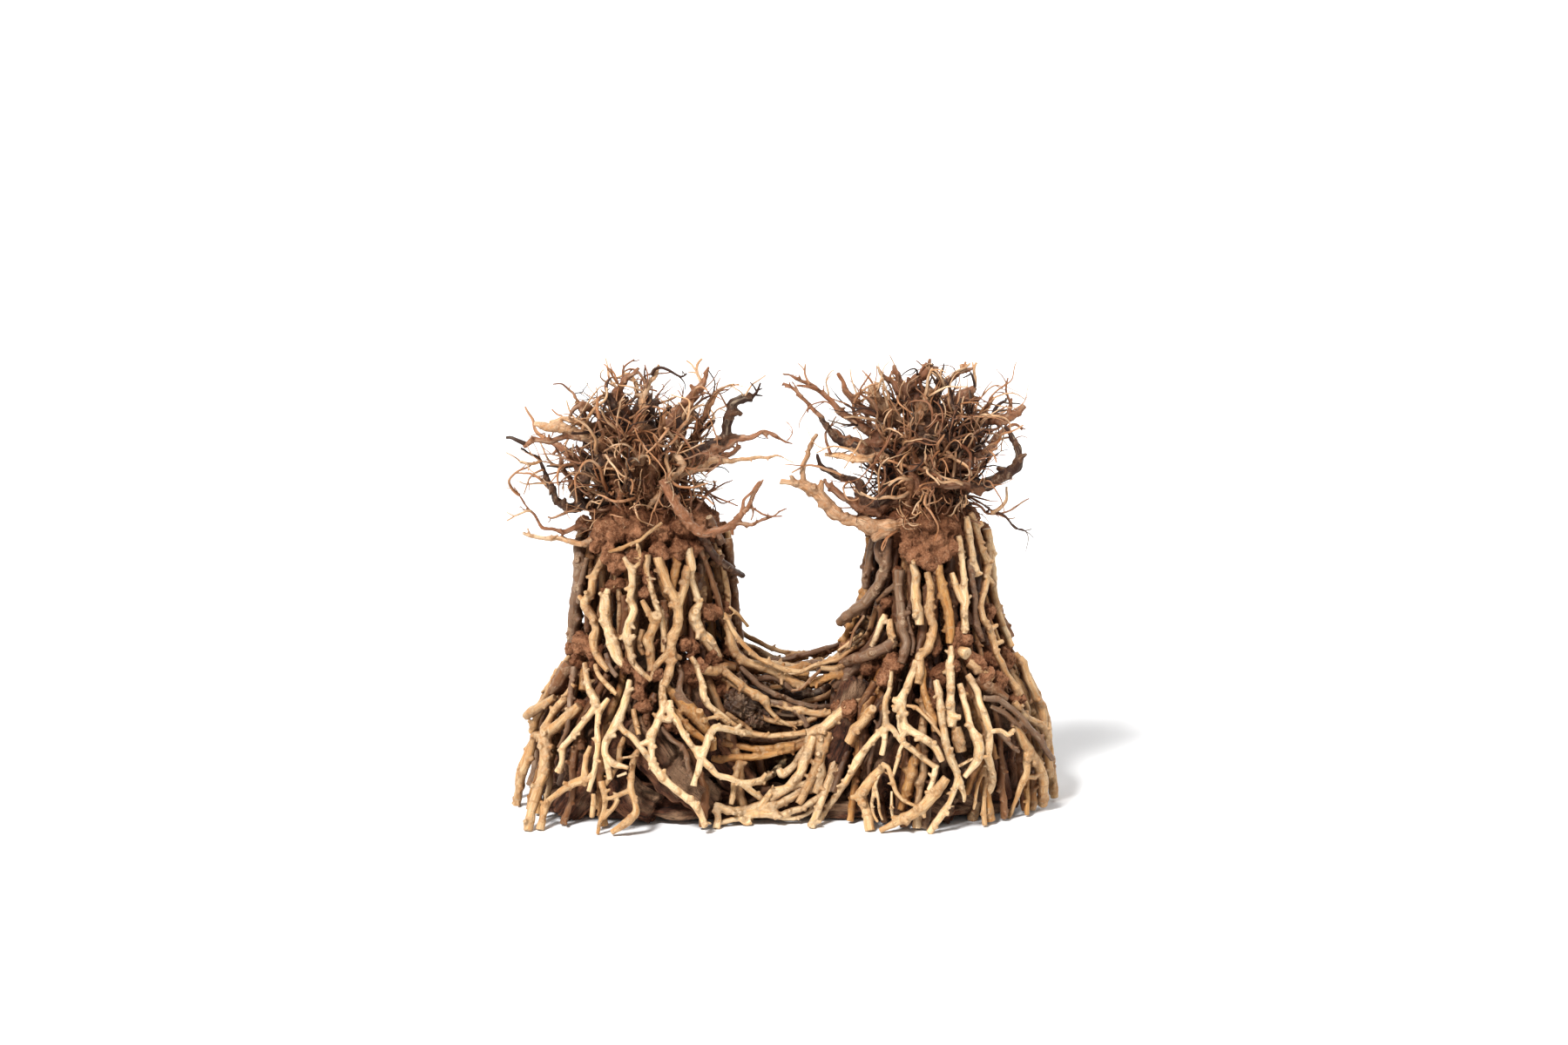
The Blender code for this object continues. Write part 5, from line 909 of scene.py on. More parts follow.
def stained(spots, normals):
    """Brown stain near the paste and in patches, and painted shade, with some dirt, where the surface faces
    inward, faces down, lies deep inside a trunk or crown, and lies far back between the trunks.
    """
    left, right = MIDDLE_X["left"], MIDDLE_X["right"]
    height = spots[:, 2]
    rise = (np.clip((height - COLLAR_FOOT) / 22, 0, 1) * 0.5
            + np.exp(-((height - WAIST_PASTE) / 13) ** 2) * 0.35)
    rise = np.where(height > COLLAR_TOP, 0.1, rise)
    patch = np.array([noise.noise(Vector(s) * 0.055) for s in spots])
    middle = np.where(np.abs(spots[:, 0] - left) < np.abs(spots[:, 0] - right), left, right)
    out = np.column_stack([spots[:, 0] - middle, spots[:, 1] / DEPTH_RATIO])
    reach = np.linalg.norm(out, axis=1) + 1e-6
    # Painted shade, with some dirt, from here: darker where the surface faces the trunk's middle, faces down,
    # lies deep inside, and lies far back between the trunks.
    inward = np.clip(-(normals[:, :2] * out).sum(1) / reach, 0, 1)
    full = np.interp(height, *zip(*SKIN["left"]))
    full = np.where(height > COLLAR_TOP, 26.0, np.where(middle > 0, full * 0.86, full))
    between = np.clip(1 - np.abs(spots[:, 0] - 4) / 34, 0, 1)
    deep = (np.clip((full - 5 - reach) / 12, 0, 1) * (1 - between)
            + between * np.clip((spots[:, 1] + 22) / 26, 0, 1) * 0.5)
    under = np.clip(-normals[:, 2], 0, 1)
    # rise and patch are the brown stain; inward, under and deep are painted shade.
    return np.clip(rise + patch * 0.7 - 0.1 + 0.3 * inward + 0.12 * under + 0.75 * deep, 0, 1)


def add_looks(item, spots, normals, grain, cut, tints, seeds, knots):
    tone = np.array([math.sin(seed * 12.9898) * 0.5 + math.sin(seed * 4.31) * 0.5 for seed in seeds])
    set_attributes(item, grain=grain, tint=tints, cut=cut, stain=stained(spots, normals), knot=knots,
                   tone=tone)


def build_wood(name, arms, material, nodes, wander=0.22, swell=0.07, stub_chance=0.6, stub_reach=3.4,
               voxel=VOXEL, ridge=0.22, lump=0.16, slim=SLIM):
    """One skin from several arms; arms are (tint, stations). Thin arms stay plain tubes beside it."""
    rng = random.Random(name)
    seed = rng.uniform(1, 60)
    chains, thick_parts, thin_parts = [], [], []
    for tint, stations in arms:
        seed += 1.7
        rows = crook(sample_arm(stations), seed, wander, swell)
        rows[:, 3] *= slim
        thin = rows[:, 3].max() < THIN
        parts = thin_parts if thin else thick_parts
        rows, shoots = knuckles(rows, rng, stub_chance, stub_reach)
        for shoot in shoots:
            chains.append((shoot, tint, seed, BROKEN_DISC if arc_length(shoot)[-1] > 4 else 0))
            parts.append(tube(shoot, BUD_SIDES))
        chains.append((rows, tint, seed, 1))
        parts.append(tube(rows, 8 if thin else TUBE_SIDES))
    made = []
    if thick_parts:
        made.append(melt(name, thick_parts, voxel, WOOD_ROUNDS))
    if thin_parts:
        made.append(make_object(name + "_fine", *join_parts(thin_parts)))
    for item in made:
        spots, normals, grain, cut, tints, seeds, shape = follow(item, chains)
        carve(item, spots, normals, grain, shape[:, 0], ridge, lump)
        add_looks(item, spots, normals, grain, cut, tints, seeds, shape[:, 1])
    if len(made) > 1:
        with bpy.context.temp_override(active_object=made[0], selected_editable_objects=made):
            bpy.ops.object.join()
    made[0].name = name
    finish_piece(made[0], material, nodes)


# ---------------------------------------------------------------- seeded twigs where nothing can be seen
def scattered_waist(side, bearings, lift, radius, tints, seed):
    """Rough upright twigs round a waist, from the skirt to the collar."""
    rng = random.Random(seed)
    arms = []
    for bearing in bearings:
        bearing += rng.uniform(-5, 5)
        wide = rng.uniform(*radius)
        stations, drift = [], 0.0
        for height in (153, 138, 122, 106, 90):
            drift += rng.uniform(-5, 5)
            stations.append((bearing + drift, height + rng.uniform(-4, 4), lift + rng.uniform(-1.5, 1.5),
                             wide * rng.uniform(0.85, 1.15)))
        arms.append((rng.choice(tints), on_skin(side, stations)))
        if rng.random() < 0.5:
            turn = rng.choice((-1, 1))
            b, h, o, r = stations[2]
            fork = [(b, h, o, r * 0.85), (b + turn * 7, h + 9, o, r * 0.7),
                    (b + turn * 11, h + 20, o, r * 0.6)]
            arms.append((arms[-1][0], on_skin(side, fork)))
    return arms


def scattered_skirt(side, bearings, lift, radius, tints, seed):
    """Legs that spread down to the floor, some of them forked."""
    rng = random.Random(seed)
    arms = []
    for bearing in bearings:
        bearing += rng.uniform(-4, 4)
        wide = rng.uniform(*radius)
        stations, drift = [], 0.0
        top = rng.uniform(84, 102)
        for share in (1, 0.78, 0.56, 0.36, 0.17, 0):
            drift += rng.uniform(-4, 4)
            height = FOOT + wide * 0.4 + share * (top - FOOT)
            sunk = -4 * max(0.0, share - 0.7) / 0.3
            stations.append((bearing + drift, height, lift + sunk + rng.uniform(-2, 2),
                             wide * rng.uniform(0.82, 1.18)))
        arms.append((rng.choice(tints), on_skin(side, stations)))
        for _ in range(rng.choice((0, 1, 1, 2))):
            turn = rng.choice((-1, 1))
            b, h, o, r = stations[rng.choice((1, 2, 3))]
            drop = rng.uniform(14, 26)
            fork = [(b, h, o, r * 0.85), (b + turn * 7, h - drop * 0.45, o + 1, r * 0.75),
                    (b + turn * rng.uniform(9, 13), max(FOOT + 1, h - drop), o + 1, r * 0.6)]
            arms.append((arms[-1][0], on_skin(side, fork)))
    return arms


def scattered_saddle(seed):
    """Long twigs that sag from trunk to trunk: three sheets from front to back, and a last at the back."""
    rng = random.Random(seed)
    arms = []
    sheets, per_sheet = (76, 60, 42, 26), 13
    for number in range(len(sheets) * per_sheet):
        sheet, place = divmod(number, per_sheet)
        y = (-18 + 56 * place / 12 if sheet < 3 else 38 + rng.uniform(-2, 6)) + rng.uniform(-3, 3)
        low = sheets[sheet] + rng.uniform(-7, 5) - (8 if y > 26 else 0)
        rise = rng.uniform(12, 26)
        middle = rng.uniform(-4, 14)
        wide = rng.uniform(1.3, 2.5)
        ends = rng.choice(((-44, 40), (-46, 14), (-8, 44), (-44, 46)))
        stations = []
        for share in np.linspace(0, 1, 5):
            x = ends[0] + share * (ends[1] - ends[0])
            z = low + rise * ((x - middle) / 42) ** 2 + rng.uniform(-2, 2)
            stations.append((x, y + rng.uniform(-3, 3), z, wide * rng.uniform(0.8, 1.15)))
        arms.append((rng.choice(("tan", "tan", "grey", "cream", "amber", "cream")), stations))
    return arms


# ---------------------------------------------------------------- crowns
def rising_roots(core, seed):
    """Thick roots that leave the collar together and splay into the crown."""
    rng = random.Random(seed)
    (_, x0, reach), (_, x1, spread) = core[0], core[2]
    arms = []
    for i in range(RISING_ROOTS):
        turn = 2 * math.pi * (i + rng.uniform(-0.3, 0.3)) / RISING_ROOTS
        near, far, top = reach * rng.uniform(0.35, 0.8), spread * rng.uniform(0.9, 2.0), rng.uniform(196, 234)
        wide = rng.uniform(1.5, 3.6)
        stations = []
        for share in (0, 0.3, 0.6, 0.85, 1):
            out = near + (far - near) * share ** 1.6
            angle = turn + rng.uniform(-0.22, 0.22) * (0.4 + share)
            stations.append((x0 + (x1 - x0) * share + out * math.cos(angle), 0.85 * out * math.sin(angle),
                             CROWN_FOOT + (top - CROWN_FOOT) * share, wide * (1.1 - 0.75 * share)))
        arms.append((rng.choice(("root", "bark", "black_root", "bark")), stations))
    return arms


def wandering(rng, start, heading, length, radius, bend, width):
    """One rootlet: a random walk that keeps roughly to its heading and inside the crown."""
    spot, rows = Vector(start), []
    turn = Vector((0, 0, 0))
    count = max(4, int(length / WALK_STEP))
    for i in range(count):
        rows.append((*spot, radius * (1 - 0.62 * i / count)))
        turn = turn * 0.72 + scatter(rng) * bend
        heading = (heading + turn).normalized()
        spot = spot + heading * WALK_STEP
        if not all(low < at < high for at, (low, high) in zip(spot, (width, CROWN_DEPTH, CROWN_HEIGHT))):
            break
    return rows if len(rows) > 3 else None


def rootlets(core, arms, seed, width):
    """Short curls round the foot of the crown, and fine forked roots that push outward and up."""
    rng = random.Random(seed)
    middle = Vector((core[1][1], 0, CROWN_MIDDLE))
    starts = []
    for _, stations in arms:
        rows = sample_arm(stations)
        starts.extend(tuple(row[:3]) for row in rows[len(rows) // 6::3]
                      if math.hypot(row[0] - middle.x, row[1]) < 40 or rng.random() < 0.25)
    for z, x, reach in core[:4]:
        starts.extend((x + rng.uniform(-0.9, 0.9) * reach, rng.uniform(-0.9, 0.7) * reach, z)
                      for _ in range(CORE_STARTS))
    grown = []
    for number in range(SHORT_CURLS):
        turn = rng.uniform(0, 2 * math.pi)
        reach = core[0][2] * rng.uniform(0.75, 1.25)
        start = (core[0][1] + reach * math.cos(turn), 0.88 * reach * math.sin(turn), rng.uniform(163, 184))
        heading = Vector((math.cos(turn) + rng.gauss(0, 0.9), math.sin(turn) + rng.gauss(0, 0.9),
                          rng.gauss(0.1, 0.8)))
        rows = wandering(rng, start, heading.normalized(), rng.uniform(9, 26), rng.uniform(0.35, 0.8), 0.26,
                         width)
        if rows:
            grown.append((rows, rng.choice(("pale_root", "bark", "root")), number * 0.77))
    for number in range(ROOTLETS):
        start = Vector(rng.choice(starts))
        away = (start - middle).normalized()
        heading = (away * rng.uniform(0.5, 1.2) + Vector((0, 0, rng.uniform(-0.15, 0.9)))
                   + scatter(rng, 0.45, 0.45, 0.4)).normalized()
        curly = number % 5 == 0
        length = rng.uniform(10, 24) if curly else rng.triangular(12, 50, 24)
        radius = rng.uniform(0.3, 0.5) if curly else rng.triangular(0.42, 1.6, 0.72)
        tint = rng.choice(("root", "root", "bark", "bark", "pale_root", "pale_root", "black_root"))
        rows = wandering(rng, start, heading, length, radius, 0.3 if curly else 0.1, width)
        if not rows:
            continue
        grown.append((rows, tint, number * 1.37))
        for _ in range(rng.choice((0, 1, 1, 2, 3))):
            at = rng.randrange(1, len(rows) - 1)
            ahead = (Vector(rows[at + 1][:3]) - Vector(rows[at - 1][:3])).normalized()
            aside = scatter(rng)
            branch = wandering(rng, rows[at][:3], (ahead + aside.normalized() * 0.8).normalized(),
                               length * rng.uniform(0.3, 0.7), rows[at][3] * 0.72, 0.09, width)
            if branch:
                grown.append((branch, tint, number * 1.37))
    return grown


def build_rootlets(name, grown, material):
    """All the rootlets of one crown as one piece of fine tubes."""
    parts, grain, tints, seeds = [], [], [], []
    round_tube = np.linspace(0, 2 * math.pi, ROOTLET_SIDES, endpoint=False)
    for rows, tint, seed in grown:
        rows = np.array(rows)
        parts.append(tube(rows, ROOTLET_SIDES))
        count = len(rows) * ROOTLET_SIDES
        run = np.repeat(arc_length(rows) + 37 * seed, ROOTLET_SIDES)
        turn = np.tile(round_tube, len(rows))
        thick = np.repeat(rows[:, 3], ROOTLET_SIDES)
        grain.append(np.column_stack([run, thick * np.cos(turn), thick * np.sin(turn)]))
        tints.append(np.tile(TINTS[tint], (count, 1)))
        seeds.append(np.full(count, seed))
    item = make_object(name, *join_parts(parts))
    spots, normals = vertex_table(item)
    none = np.zeros(len(spots))
    add_looks(item, spots, normals, np.vstack(grain), none, np.vstack(tints), np.concatenate(seeds), none)
    finish_piece(item, material, [])


def build_crown(side, width, seed, material):
    name = side + "_crown"
    core = CROWN_CORE[side]
    arms = CROWN_ROOTS[side] + rising_roots(core, seed)
    middle = [("black_root", [(x, 0, z, reach * 0.55) for z, x, reach in core])]
    build_wood(name, middle + arms, material, [name], wander=1.3, swell=0.1, stub_chance=0.75,
               stub_reach=5.0, voxel=ROOT_VOXEL, ridge=0.6, lump=0.6, slim=0.9)
    build_rootlets(name + "_rootlets", rootlets(core, arms, seed + 1, width), material)


# ---------------------------------------------------------------- paste and driftwood
def build_paste(name, parts, material, nodes):
    item = melt(name, parts, PASTE_VOXEL, PASTE_ROUNDS)
    spots, normals = vertex_table(item)
    push = np.array([1.6 * noise.noise(Vector(s) * 0.17) + 0.9 * noise.noise(Vector(s) * 0.45)
                     + 0.7 * noise.noise(Vector(s) * 1.1)
                     - 2.2 * max(0.0, noise.noise(Vector(s) * 0.75 + Vector((9, 0, 0))) - 0.16)
                     for s in spots])
    push_surface(item, spots, normals, push)
    finish_piece(item, material, nodes)


def lump_parts(side, lumps):
    """Each lump is three unequal balls, so that none of them reads as round."""
    parts = []
    for i, (bearing, height, lift, radius) in enumerate(lumps):
        rng = random.Random(i)
        for share in (0.84, 0.62, 0.5):
            away = (1 - share) * 1.5 * radius
            spot = skin_point(side, bearing + rng.choice((-1, 1)) * away * 0.8,
                              height + rng.uniform(-1.1, 1.1) * away, lift - 0.3 * away)
            parts.append(ball(spot, radius * share, 3.1 * i + share, rng.uniform(0.7, 1.1)))
    return parts


def build_driftwood(name, parts, chains, material, groove, voxel=DRIFTWOOD_VOXEL):
    """Weathered hard wood: deep lengthwise grooves that follow each chunk."""
    item = melt(name, parts, voxel, WOOD_ROUNDS)
    spots, normals, grain, cut, *_ = follow(item, chains)
    push = []
    for g in grain:
        wide = noise.noise(Vector((g[0] * 0.022, g[1] * 0.16, g[2] * 0.16)))
        fine = noise.noise(Vector((g[0] * 0.05, g[1] * 0.55, g[2] * 0.55)))
        push.append(groove * (-1.5 * max(0.0, abs(wide) * -2.4 + 0.42) + 0.55 * wide) + groove * 0.35 * fine)
    push_surface(item, spots, normals, np.array(push))
    set_attributes(item, grain=grain, cut=cut, depth=np.array(push) / groove)
    finish_piece(item, material, [name])


def laid_log(rings, sides, rough, seed):
    """A log that lies along X, from rings of (x, y, z, half depth, half height)."""
    verts, faces = lathe([(z, y, x, tall, wide) for x, y, z, wide, tall in rings], sides, rough, seed)
    return verts[:, ::-1], [face[::-1] for face in faces]


def build_base(material):
    """The log with its slab, and the stumps in the skirts."""
    parts = [laid_log(LOG_RINGS, 40, 0.16, 2.0), laid_log(SLAB_RINGS, 32, 0.3, 9.0)]
    chains = [(sample_arm([(x, y, z, wide) for x, y, z, wide, _ in rings]), "dark", seed, 1)
              for rings, seed in ((LOG_RINGS, 1.0), (SLAB_RINGS, 5.0))]
    build_driftwood("base_log", parts, chains, material, 2.2)
    for name, arms in STUMP_ARMS.items():
        rows = [sample_arm(arm) for arm in arms]
        build_driftwood(name, [tube(crook(r, 5.0 * i, 2.0, 0.15, 20), 22) for i, r in enumerate(rows)],
                        [(r, "dark", 3.0 + i, 1) for i, r in enumerate(rows)], material, 1.9)


def build_heartwood(material):
    rows = sample_arm(HEARTWOOD_ARM)
    build_driftwood("heartwood_block", [tube(rows, 7)], [(rows, "dark", 8.0, 1)], material, 0.8,
                    HEARTWOOD_VOXEL)


# ---------------------------------------------------------------- materials
class Nodes:
    """Short spelling for a material's node tree."""

    def __init__(self, name, roughness, specular=0.25):
        self.material = bpy.data.materials.new(name)
        self.material.use_nodes = True
        self.tree = self.material.node_tree
        self.shader = self.tree.nodes["Principled BSDF"]
        self.shader.inputs["Roughness"].default_value = roughness
        self.shader.inputs["Specular IOR Level"].default_value = specular

    def set_socket(self, socket, value):
        if isinstance(value, bpy.types.NodeSocket):
            self.tree.links.new(value, socket)
        else:
            socket.default_value = value

    def add(self, kind, inputs=(), **settings):
        node = self.tree.nodes.new(kind)
        for key, value in settings.items():
            setattr(node, key, value)
        for socket, value in dict(inputs).items():
            self.set_socket(node.inputs[socket], value)
        return node

    def attribute(self, name, output="Fac"):
        return self.add("ShaderNodeAttribute", attribute_name=name).outputs[output]

    def noise(self, vector, scale, detail=3.0, rough=0.55):
        node = self.add("ShaderNodeTexNoise", {"Vector": vector, "Scale": scale, "Detail": detail,
                                               "Roughness": rough})
        return node.outputs["Fac"]

    def streaks(self, vector, stretch, detail=3.0, rough=0.55):
        """Noise with its own scale on each axis."""
        node = self.add("ShaderNodeVectorMath", {0: vector, 1: stretch}, operation="MULTIPLY")
        return self.noise(node.outputs["Vector"], 1.0, detail, rough)

    def ramp(self, value, low, high, bottom=0.0, top=1.0):
        node = self.add("ShaderNodeMapRange", {"Value": value, "From Min": low, "From Max": high,
                                               "To Min": bottom, "To Max": top})
        return node.outputs["Result"]

    def math(self, operation, first, second=0.0):
        return self.add("ShaderNodeMath", {0: first, 1: second}, operation=operation).outputs[0]

    def mix(self, share, first, second, blend="MIX"):
        node = self.add("ShaderNodeMix", data_type="RGBA", blend_type=blend)
        for socket, value in (("Factor", share), ("A", first), ("B", second)):
            self.set_socket([s for s in node.inputs if s.name == socket and s.enabled][0], value)
        return [s for s in node.outputs if s.enabled][0]

    def paint_dirt_and_shade(self, colour, share):
        """Painted shade, with some dirt, in the hollows between twigs."""
        dirt_and_shade = self.mix(1.0, colour, DIRT_AND_SHADE, "MULTIPLY")
        return self.mix(self.math("MULTIPLY", self.attribute("hollow"), share), colour, dirt_and_shade)

    def finish(self, colour, height, depth, strength, roughness=None):
        self.set_socket(self.shader.inputs["Base Color"], colour)
        if roughness is not None:
            self.set_socket(self.shader.inputs["Roughness"], roughness)
        bump = self.add("ShaderNodeBump", {"Height": height, "Distance": depth, "Strength": strength})
        self.set_socket(self.shader.inputs["Normal"], bump.outputs["Normal"])
        return self.material


def wood_material(name, roughness, stain_share, fibre, speck, bleach, disc, dirt_and_shade):
    """Peeled twig or root: streaks along the grain, stains, specks, rings on the sawn ends, and painted shade
    where twigs face inward, lie deep or crowd together.
    """
    n = Nodes(name, roughness)
    grain, tint = n.attribute("grain", "Vector"), n.attribute("tint", "Color")
    tone, stain, cut, knot = (n.attribute(layer) for layer in ("tone", "stain", "cut", "knot"))
    broad = n.streaks(grain, (0.07, 0.55, 0.55))
    streak = n.streaks(grain, (0.16, 1.9, 1.9), 3.0, 0.6)
    fine = n.streaks(grain, (0.5, 5.5, 5.5), 2.0)
    spots = n.streaks(grain, (1.1, 1.6, 1.6), 1.0)
    light = n.math("ADD", n.ramp(streak, 0.3, 0.7, 1 - fibre, 1 + fibre), n.math("MULTIPLY", tone, 0.15))
    light = n.add("ShaderNodeCombineColor", {"Red": light, "Green": light, "Blue": light}).outputs["Color"]
    colour = n.mix(1.0, tint, light, "MULTIPLY")
    colour = n.mix(n.ramp(broad, 0.45, 0.66, 0, 0.8), colour, n.mix(1.0, tint, WARM, "MULTIPLY"))
    colour = n.mix(n.ramp(broad, 0.46, 0.28, 0, bleach), colour, n.mix(0.5, tint, BLEACHED))
    # Brown stain, and painted shade with some dirt where a surface faces inward, faces down or lies deep
    # inside.
    stain = n.math("MULTIPLY", stain, n.ramp(spots, 0.3, 0.7, stain_share * 0.4, stain_share))
    colour = n.mix(stain, colour, STAIN_AND_SHADE)
    colour = n.mix(n.math("MULTIPLY", knot, n.ramp(streak, 0.35, 0.62, 0.1, 0.6)), colour, KNOT)
    colour = n.mix(n.ramp(spots, 0.66, 0.74, 0, speck), colour, SPECK)
    ends = n.add("ShaderNodeSeparateXYZ", {"Vector": grain})
    across = n.add("ShaderNodeCombineXYZ", {"Y": ends.outputs["Y"], "Z": ends.outputs["Z"]}).outputs["Vector"]
    reach = n.add("ShaderNodeVectorMath", {0: across}, operation="LENGTH").outputs["Value"]
    rings = n.math("SINE", n.math("MULTIPLY", reach, 7.0))
    sawn = n.mix(n.ramp(rings, -1, 1, 0, 0.7), disc, tint)
    sawn = n.mix(n.ramp(reach, 0.75, 0.3, 0, 0.85), sawn, PITH)
    # Painted shade, with some dirt, in the hollows between twigs.
    colour = n.paint_dirt_and_shade(n.mix(n.math("MULTIPLY", cut, 0.85), colour, sawn), dirt_and_shade)
    height = n.math("ADD", n.math("MULTIPLY", fine, 0.6),
                    n.math("SUBTRACT", streak, n.ramp(spots, 0.64, 0.74, 0, 0.8)))
    rough = n.ramp(streak, 0.3, 0.7, roughness - 0.1, roughness + 0.14)
    return n.finish(colour, height, depth=0.00022, strength=0.75, roughness=rough)


def paste_material():
    """Sawdust paste: crumbly, fibrous and pitted."""
    n = Nodes("paste", 0.95, 0.15)
    place = n.add("ShaderNodeTexCoord").outputs["Object"]
    crumbs = n.noise(place, 900.0, 4.0, 0.7)
    clouds = n.noise(place, 160.0)
    fibre = n.streaks(place, (2600.0, 900.0, 700.0), 2.0)
    colour = n.mix(n.ramp(clouds, 0.35, 0.65), (0.15, 0.055, 0.024, 1), (0.36, 0.16, 0.078, 1))
    colour = n.mix(n.ramp(crumbs, 0.52, 0.74, 0, 0.75), colour, (0.52, 0.28, 0.15, 1))
    colour = n.mix(n.ramp(crumbs, 0.44, 0.3, 0, 0.85), colour, (0.035, 0.012, 0.006, 1))
    # Painted shade, with some dirt, in the hollows of the paste.
    colour = n.paint_dirt_and_shade(n.mix(n.ramp(fibre, 0.6, 0.72, 0, 0.5), colour, (0.55, 0.36, 0.22, 1)), 0.8)
    height = n.math("ADD", crumbs, n.math("MULTIPLY", fibre, 0.4))
    return n.finish(colour, height, depth=0.0011, strength=0.9)


def driftwood_material(name, deep, middle, ridge, worn):
    """Old hard wood: dark in the grooves, redder and paler on the ridges."""
    n = Nodes(name, 0.8)
    grain, depth = n.attribute("grain", "Vector"), n.attribute("depth")
    streak = n.streaks(grain, (0.045, 0.75, 0.75), 4.0, 0.65)
    fine = n.streaks(grain, (0.2, 3.2, 3.2))
    clouds = n.streaks(grain, (0.035, 0.06, 0.06), 2.0)
    colour = n.mix(n.ramp(streak, 0.35, 0.62), deep, middle)
    colour = n.mix(n.ramp(depth, -0.1, 0.4, 0, 0.8), colour, ridge)
    colour = n.mix(n.ramp(clouds, 0.46, 0.62, 0, 0.7), colour, worn)
    # Painted shade, with some dirt, in the hollows between the chunks.
    colour = n.paint_dirt_and_shade(n.mix(n.ramp(fine, 0.5, 0.33, 0, 0.8), colour, (0.02, 0.01, 0.007, 1)), 0.7)
    height = n.math("ADD", fine, n.math("MULTIPLY", streak, 1.6))
    return n.finish(colour, height, depth=0.0014, strength=1.0)


# ---------------------------------------------------------------- stage (metres)
FLOOR_FRONT, FLOOR_BACK, FLOOR_SIDE, WALL_BEND, WALL_TOP = -16.0, 2.2, 9.0, 1.6, 5.0
FLOOR_WHITE = (0.86, 0.86, 0.86, 1)
WORLD_LIGHT = 0.42
# Light: name, where it shines from, spread in degrees, strength.
LIGHTS = (("key", (-1.0, -1.5, 2.1), 12, 4.7), ("rim", (1.3, 0.3, 1.6), 40, 0.6))
CAMERA_RISE = math.radians(12.0)
CAMERA_AWAY, CAMERA_AIM = 2.04, 0.160  # distance from the spot it looks at, and the height of that spot
LENS, SENSOR, FARTHEST = 85, 36, 30  # mm, mm, m


def add_object(name, data):
    item = bpy.data.objects.new(name, data)
    bpy.context.scene.collection.objects.link(item)
    return item


def build_floor():
    """Pale floor that curves up into a wall behind."""
    shape = bmesh.new()
    bend = [(FLOOR_BACK + WALL_BEND * math.sin(a), WALL_BEND - WALL_BEND * math.cos(a))
            for a in np.linspace(0.1, math.pi / 2, 14)]
    profile = [(FLOOR_FRONT, 0.0), (FLOOR_BACK, 0.0)] + bend + [(FLOOR_BACK + WALL_BEND, WALL_TOP)]
    rows = [[shape.verts.new((x, y, z)) for x in (-FLOOR_SIDE, FLOOR_SIDE)] for y, z in profile]
    for low, high in zip(rows, rows[1:]):
        shape.faces.new((low[0], low[1], high[1], high[0]))
    data = bpy.data.meshes.new("backdrop")
    shape.to_mesh(data)
    shape.free()
    backdrop = add_object("backdrop", data)
    n = Nodes("floor", 0.7, 0.2)
    n.shader.inputs["Base Color"].default_value = FLOOR_WHITE
    data.materials.append(n.material)
    data.polygons.foreach_set("use_smooth", [True] * len(data.polygons))


def build_stage():
    """Floor, soft lights and the camera."""
    build_floor()
    world = bpy.data.worlds.new("studio")
    bpy.context.scene.world = world
    world.use_nodes = True
    world.node_tree.nodes["Background"].inputs["Color"].default_value = (1, 1, 1, 1)
    world.node_tree.nodes["Background"].inputs["Strength"].default_value = WORLD_LIGHT
    for name, spot, spread, power in LIGHTS:
        lamp = bpy.data.lights.new(name, "SUN")
        lamp.angle, lamp.energy = math.radians(spread), power
        item = add_object(name, lamp)
        item.location = spot
        item.rotation_euler = (-Vector(spot)).to_track_quat("-Z", "Y").to_euler()

    lens = bpy.data.cameras.new("camera")
    lens.lens, lens.sensor_width, lens.clip_end = LENS, SENSOR, FARTHEST
    camera = add_object("camera", lens)
    camera.location = (0, -CAMERA_AWAY * math.cos(CAMERA_RISE),
                       CAMERA_AIM + CAMERA_AWAY * math.sin(CAMERA_RISE))
    camera.rotation_euler = (math.pi / 2 - CAMERA_RISE, 0, 0)
    bpy.context.scene.camera = camera
    bpy.context.scene.view_settings.view_transform = "Standard"


# ---------------------------------------------------------------- assembly
# Bearings of the seeded twigs, in the order in which they are drawn.
SECOND_WAIST = {"left": [-72, -50, -30, -8, 6, 28, 44, 60, 74],
                "right": [-68, -56, -42, -27, -12, 2, 20, 36, 52, 66, 78]}
SECOND_SKIRT = {"left": [-76, -66, -56, -46, 46, 58], "right": [-70, -58, -46, -34, -20, -6, 6, 22, 58, 72]}
REAR_WAIST = {
    "left": [92, 99, 114, 124, 136, 144, 165, 172, -175, -167, -159, -150, -142, -120, -111, -103, -94],
    "right": [92, 99, 105, 127, 136, 146, 156, 166, 177, -173, -164, -157, -134, -126, -116, -106, -97],
}
INNER_WAIST = {"left": [-76, -54, -36, -20, 14, 34, 52, 78, 110, 150, -170, -130],
               "right": [-78, -58, -38, -20, 14, 34, 54, 80, 110, 150, -170, -130]}
REAR_SKIRT = {
    "left": [93, 100, 108, 113, 131, 138, 146, 154, 162, -176, -170, -163, -156, -149, -142, -134, -114,
             -106, -98],
    "right": [92, 98, 105, 112, 116, 137, 144, 152, 160, 176, -156, -149, -141, -133, -110, -103, -96],
}
INNER_SKIRT = {"left": [-78, -30, 30, 58, 78, 120, 165, -150],
               "right": [-74, -30, 30, 50, 76, 130, 170, -140]}
OUTER_TINTS = ("tan", "tan", "cream", "amber", "grey", "brown")
SECOND_TINTS = ("tan", "tan", "amber", "grey", "cream", "brown")
# Twigs inside the trunks take dark tints: partly their own stain, partly painted shade.
INNER_STAIN_AND_SHADE_TINTS = ("brown", "amber", "dark", "brown", "tan")
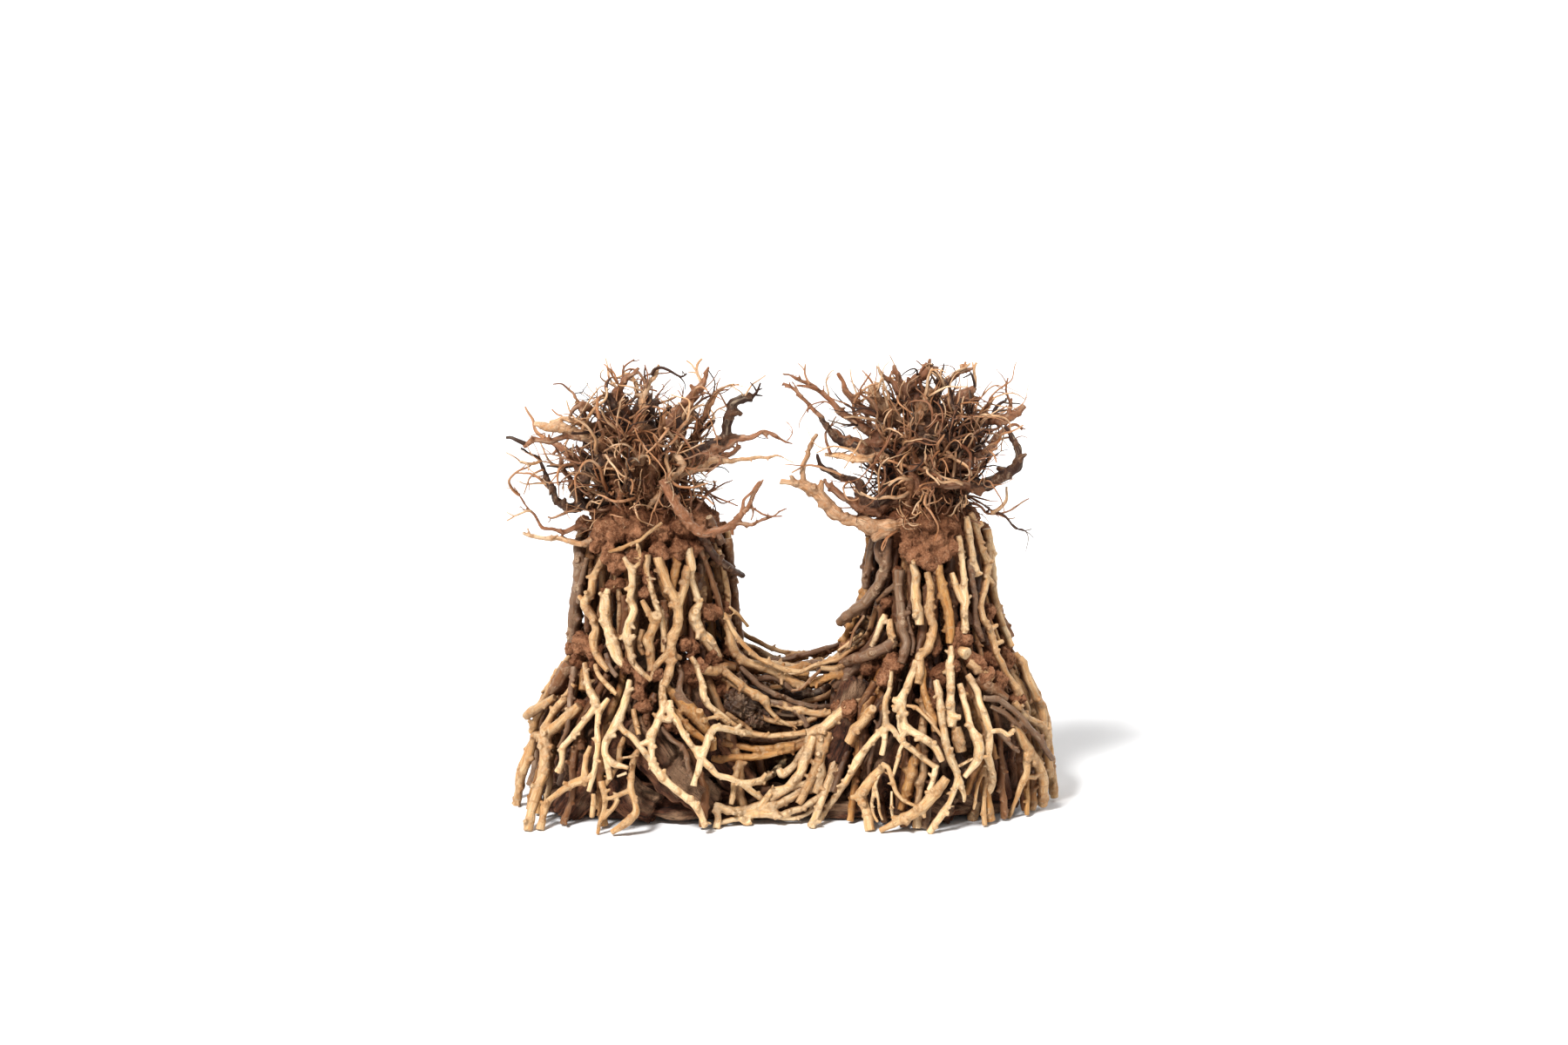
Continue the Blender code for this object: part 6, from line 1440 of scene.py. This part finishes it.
# Group: maker, bearings, lift off the skin, thinnest and thickest radius, tints, seed.
SCATTERED = {
    "waist_second": (scattered_waist, SECOND_WAIST, -6, (1.9, 3.0), SECOND_TINTS, 4),
    "skirt_second": (scattered_skirt, SECOND_SKIRT, -7, (1.6, 2.7), SECOND_TINTS, 5),
    "waist_rear": (scattered_waist, REAR_WAIST, 0, (2.0, 3.3), OUTER_TINTS, 0),
    "waist_inside": (scattered_waist, INNER_WAIST, -11, (2.0, 3.2), INNER_STAIN_AND_SHADE_TINTS, 1),
    "skirt_rear": (scattered_skirt, REAR_SKIRT, 0, (1.8, 3.1), OUTER_TINTS, 2),
    "skirt_inside": (scattered_skirt, INNER_SKIRT, -12, (1.8, 3.0), INNER_STAIN_AND_SHADE_TINTS, 3),
}
SIDE_SEED = {"left": 76, "right": 82}


def build_twigs(wood, root):
    for node, (tint, arms) in SKIN_TWIGS.items():
        arms = [(tint, on_skin(side_of(node), arm)) for arm in arms]
        build_wood(node, arms, wood, [node])
    for group, twigs in SMALL_TWIGS.items():
        arms = [(tint, on_skin(side_of(group), arm)) for tint, arm in twigs]
        build_wood(group, arms, wood, [])
    for node, (tint, arms) in FREE_TWIGS.items():
        arms = [(tint, arm) for arm in arms]
        if tint in ("root", "rind"):
            build_wood(node, arms, root, [node], wander=0.7, swell=0.16, lump=0.6,
                       ridge=0.6)
        else:
            build_wood(node, arms, wood, [node], wander=0.3, swell=0.08)
    build_wood("saddle_small", SADDLE_SMALL, wood, [])
    build_wood("saddle_grey_chunk", GREY_CHUNK, wood, [], wander=2.0, swell=0.4, stub_chance=0.9,
               stub_reach=4.5, ridge=2.2, lump=1.8, slim=0.95)


def build_scattered(wood):
    for side, side_seed in SIDE_SEED.items():
        for group, (maker, bearings, lift, radius, tints, seed) in SCATTERED.items():
            arms = maker(side, bearings[side], lift, radius, tints, side_seed + seed)
            build_wood(f"{side}_{group}", arms, wood, [], voxel=REAR_VOXEL)
    build_wood("saddle_rear", scattered_saddle(12), wood, [], voxel=REAR_VOXEL)


def build_all_paste(paste):
    for name, (rings, lumps) in PASTE.items():
        body = lathe(rings, 36, 0.2, 4.0) if name.endswith("collar") else lathe(rings, 24, 0.3, 7.0)
        build_paste(name, [body] + lump_parts(side_of(name), lumps), paste, [name])
    lumps = [ball(spot, radius, 2.3 * i) for i, (*spot, radius) in enumerate(SADDLE_PASTE)]
    build_paste("saddle_paste", lumps, paste, [])


def main():
    wood = wood_material("peeled_twig", roughness=0.5, stain_share=0.85, fibre=0.26, speck=0.7, bleach=0.5,
                         disc=(0.72, 0.55, 0.35, 1), dirt_and_shade=0.9)
    root = wood_material("root_bark", roughness=0.62, stain_share=0.4, fibre=0.5, speck=0.75, bleach=0.7,
                         disc=(0.3, 0.17, 0.09, 1), dirt_and_shade=0.72)
    build_twigs(wood, root)
    build_scattered(wood)
    build_crown("left", (-152, 6), 21, root)
    build_crown("right", (-1, 136), 47, root)
    build_all_paste(paste_material())
    build_base(driftwood_material(
        "driftwood", deep=(0.022, 0.008, 0.004, 1), middle=(0.18, 0.064, 0.03, 1),
        ridge=(0.42, 0.18, 0.085, 1), worn=(0.5, 0.31, 0.18, 1)))
    build_heartwood(driftwood_material(
        "heartwood", deep=(0.06, 0.014, 0.007, 1), middle=(0.26, 0.065, 0.028, 1),
        ridge=(0.42, 0.13, 0.055, 1), worn=(0.46, 0.27, 0.17, 1)))
    shade_hollows(BUILT)
    build_stage()


main()
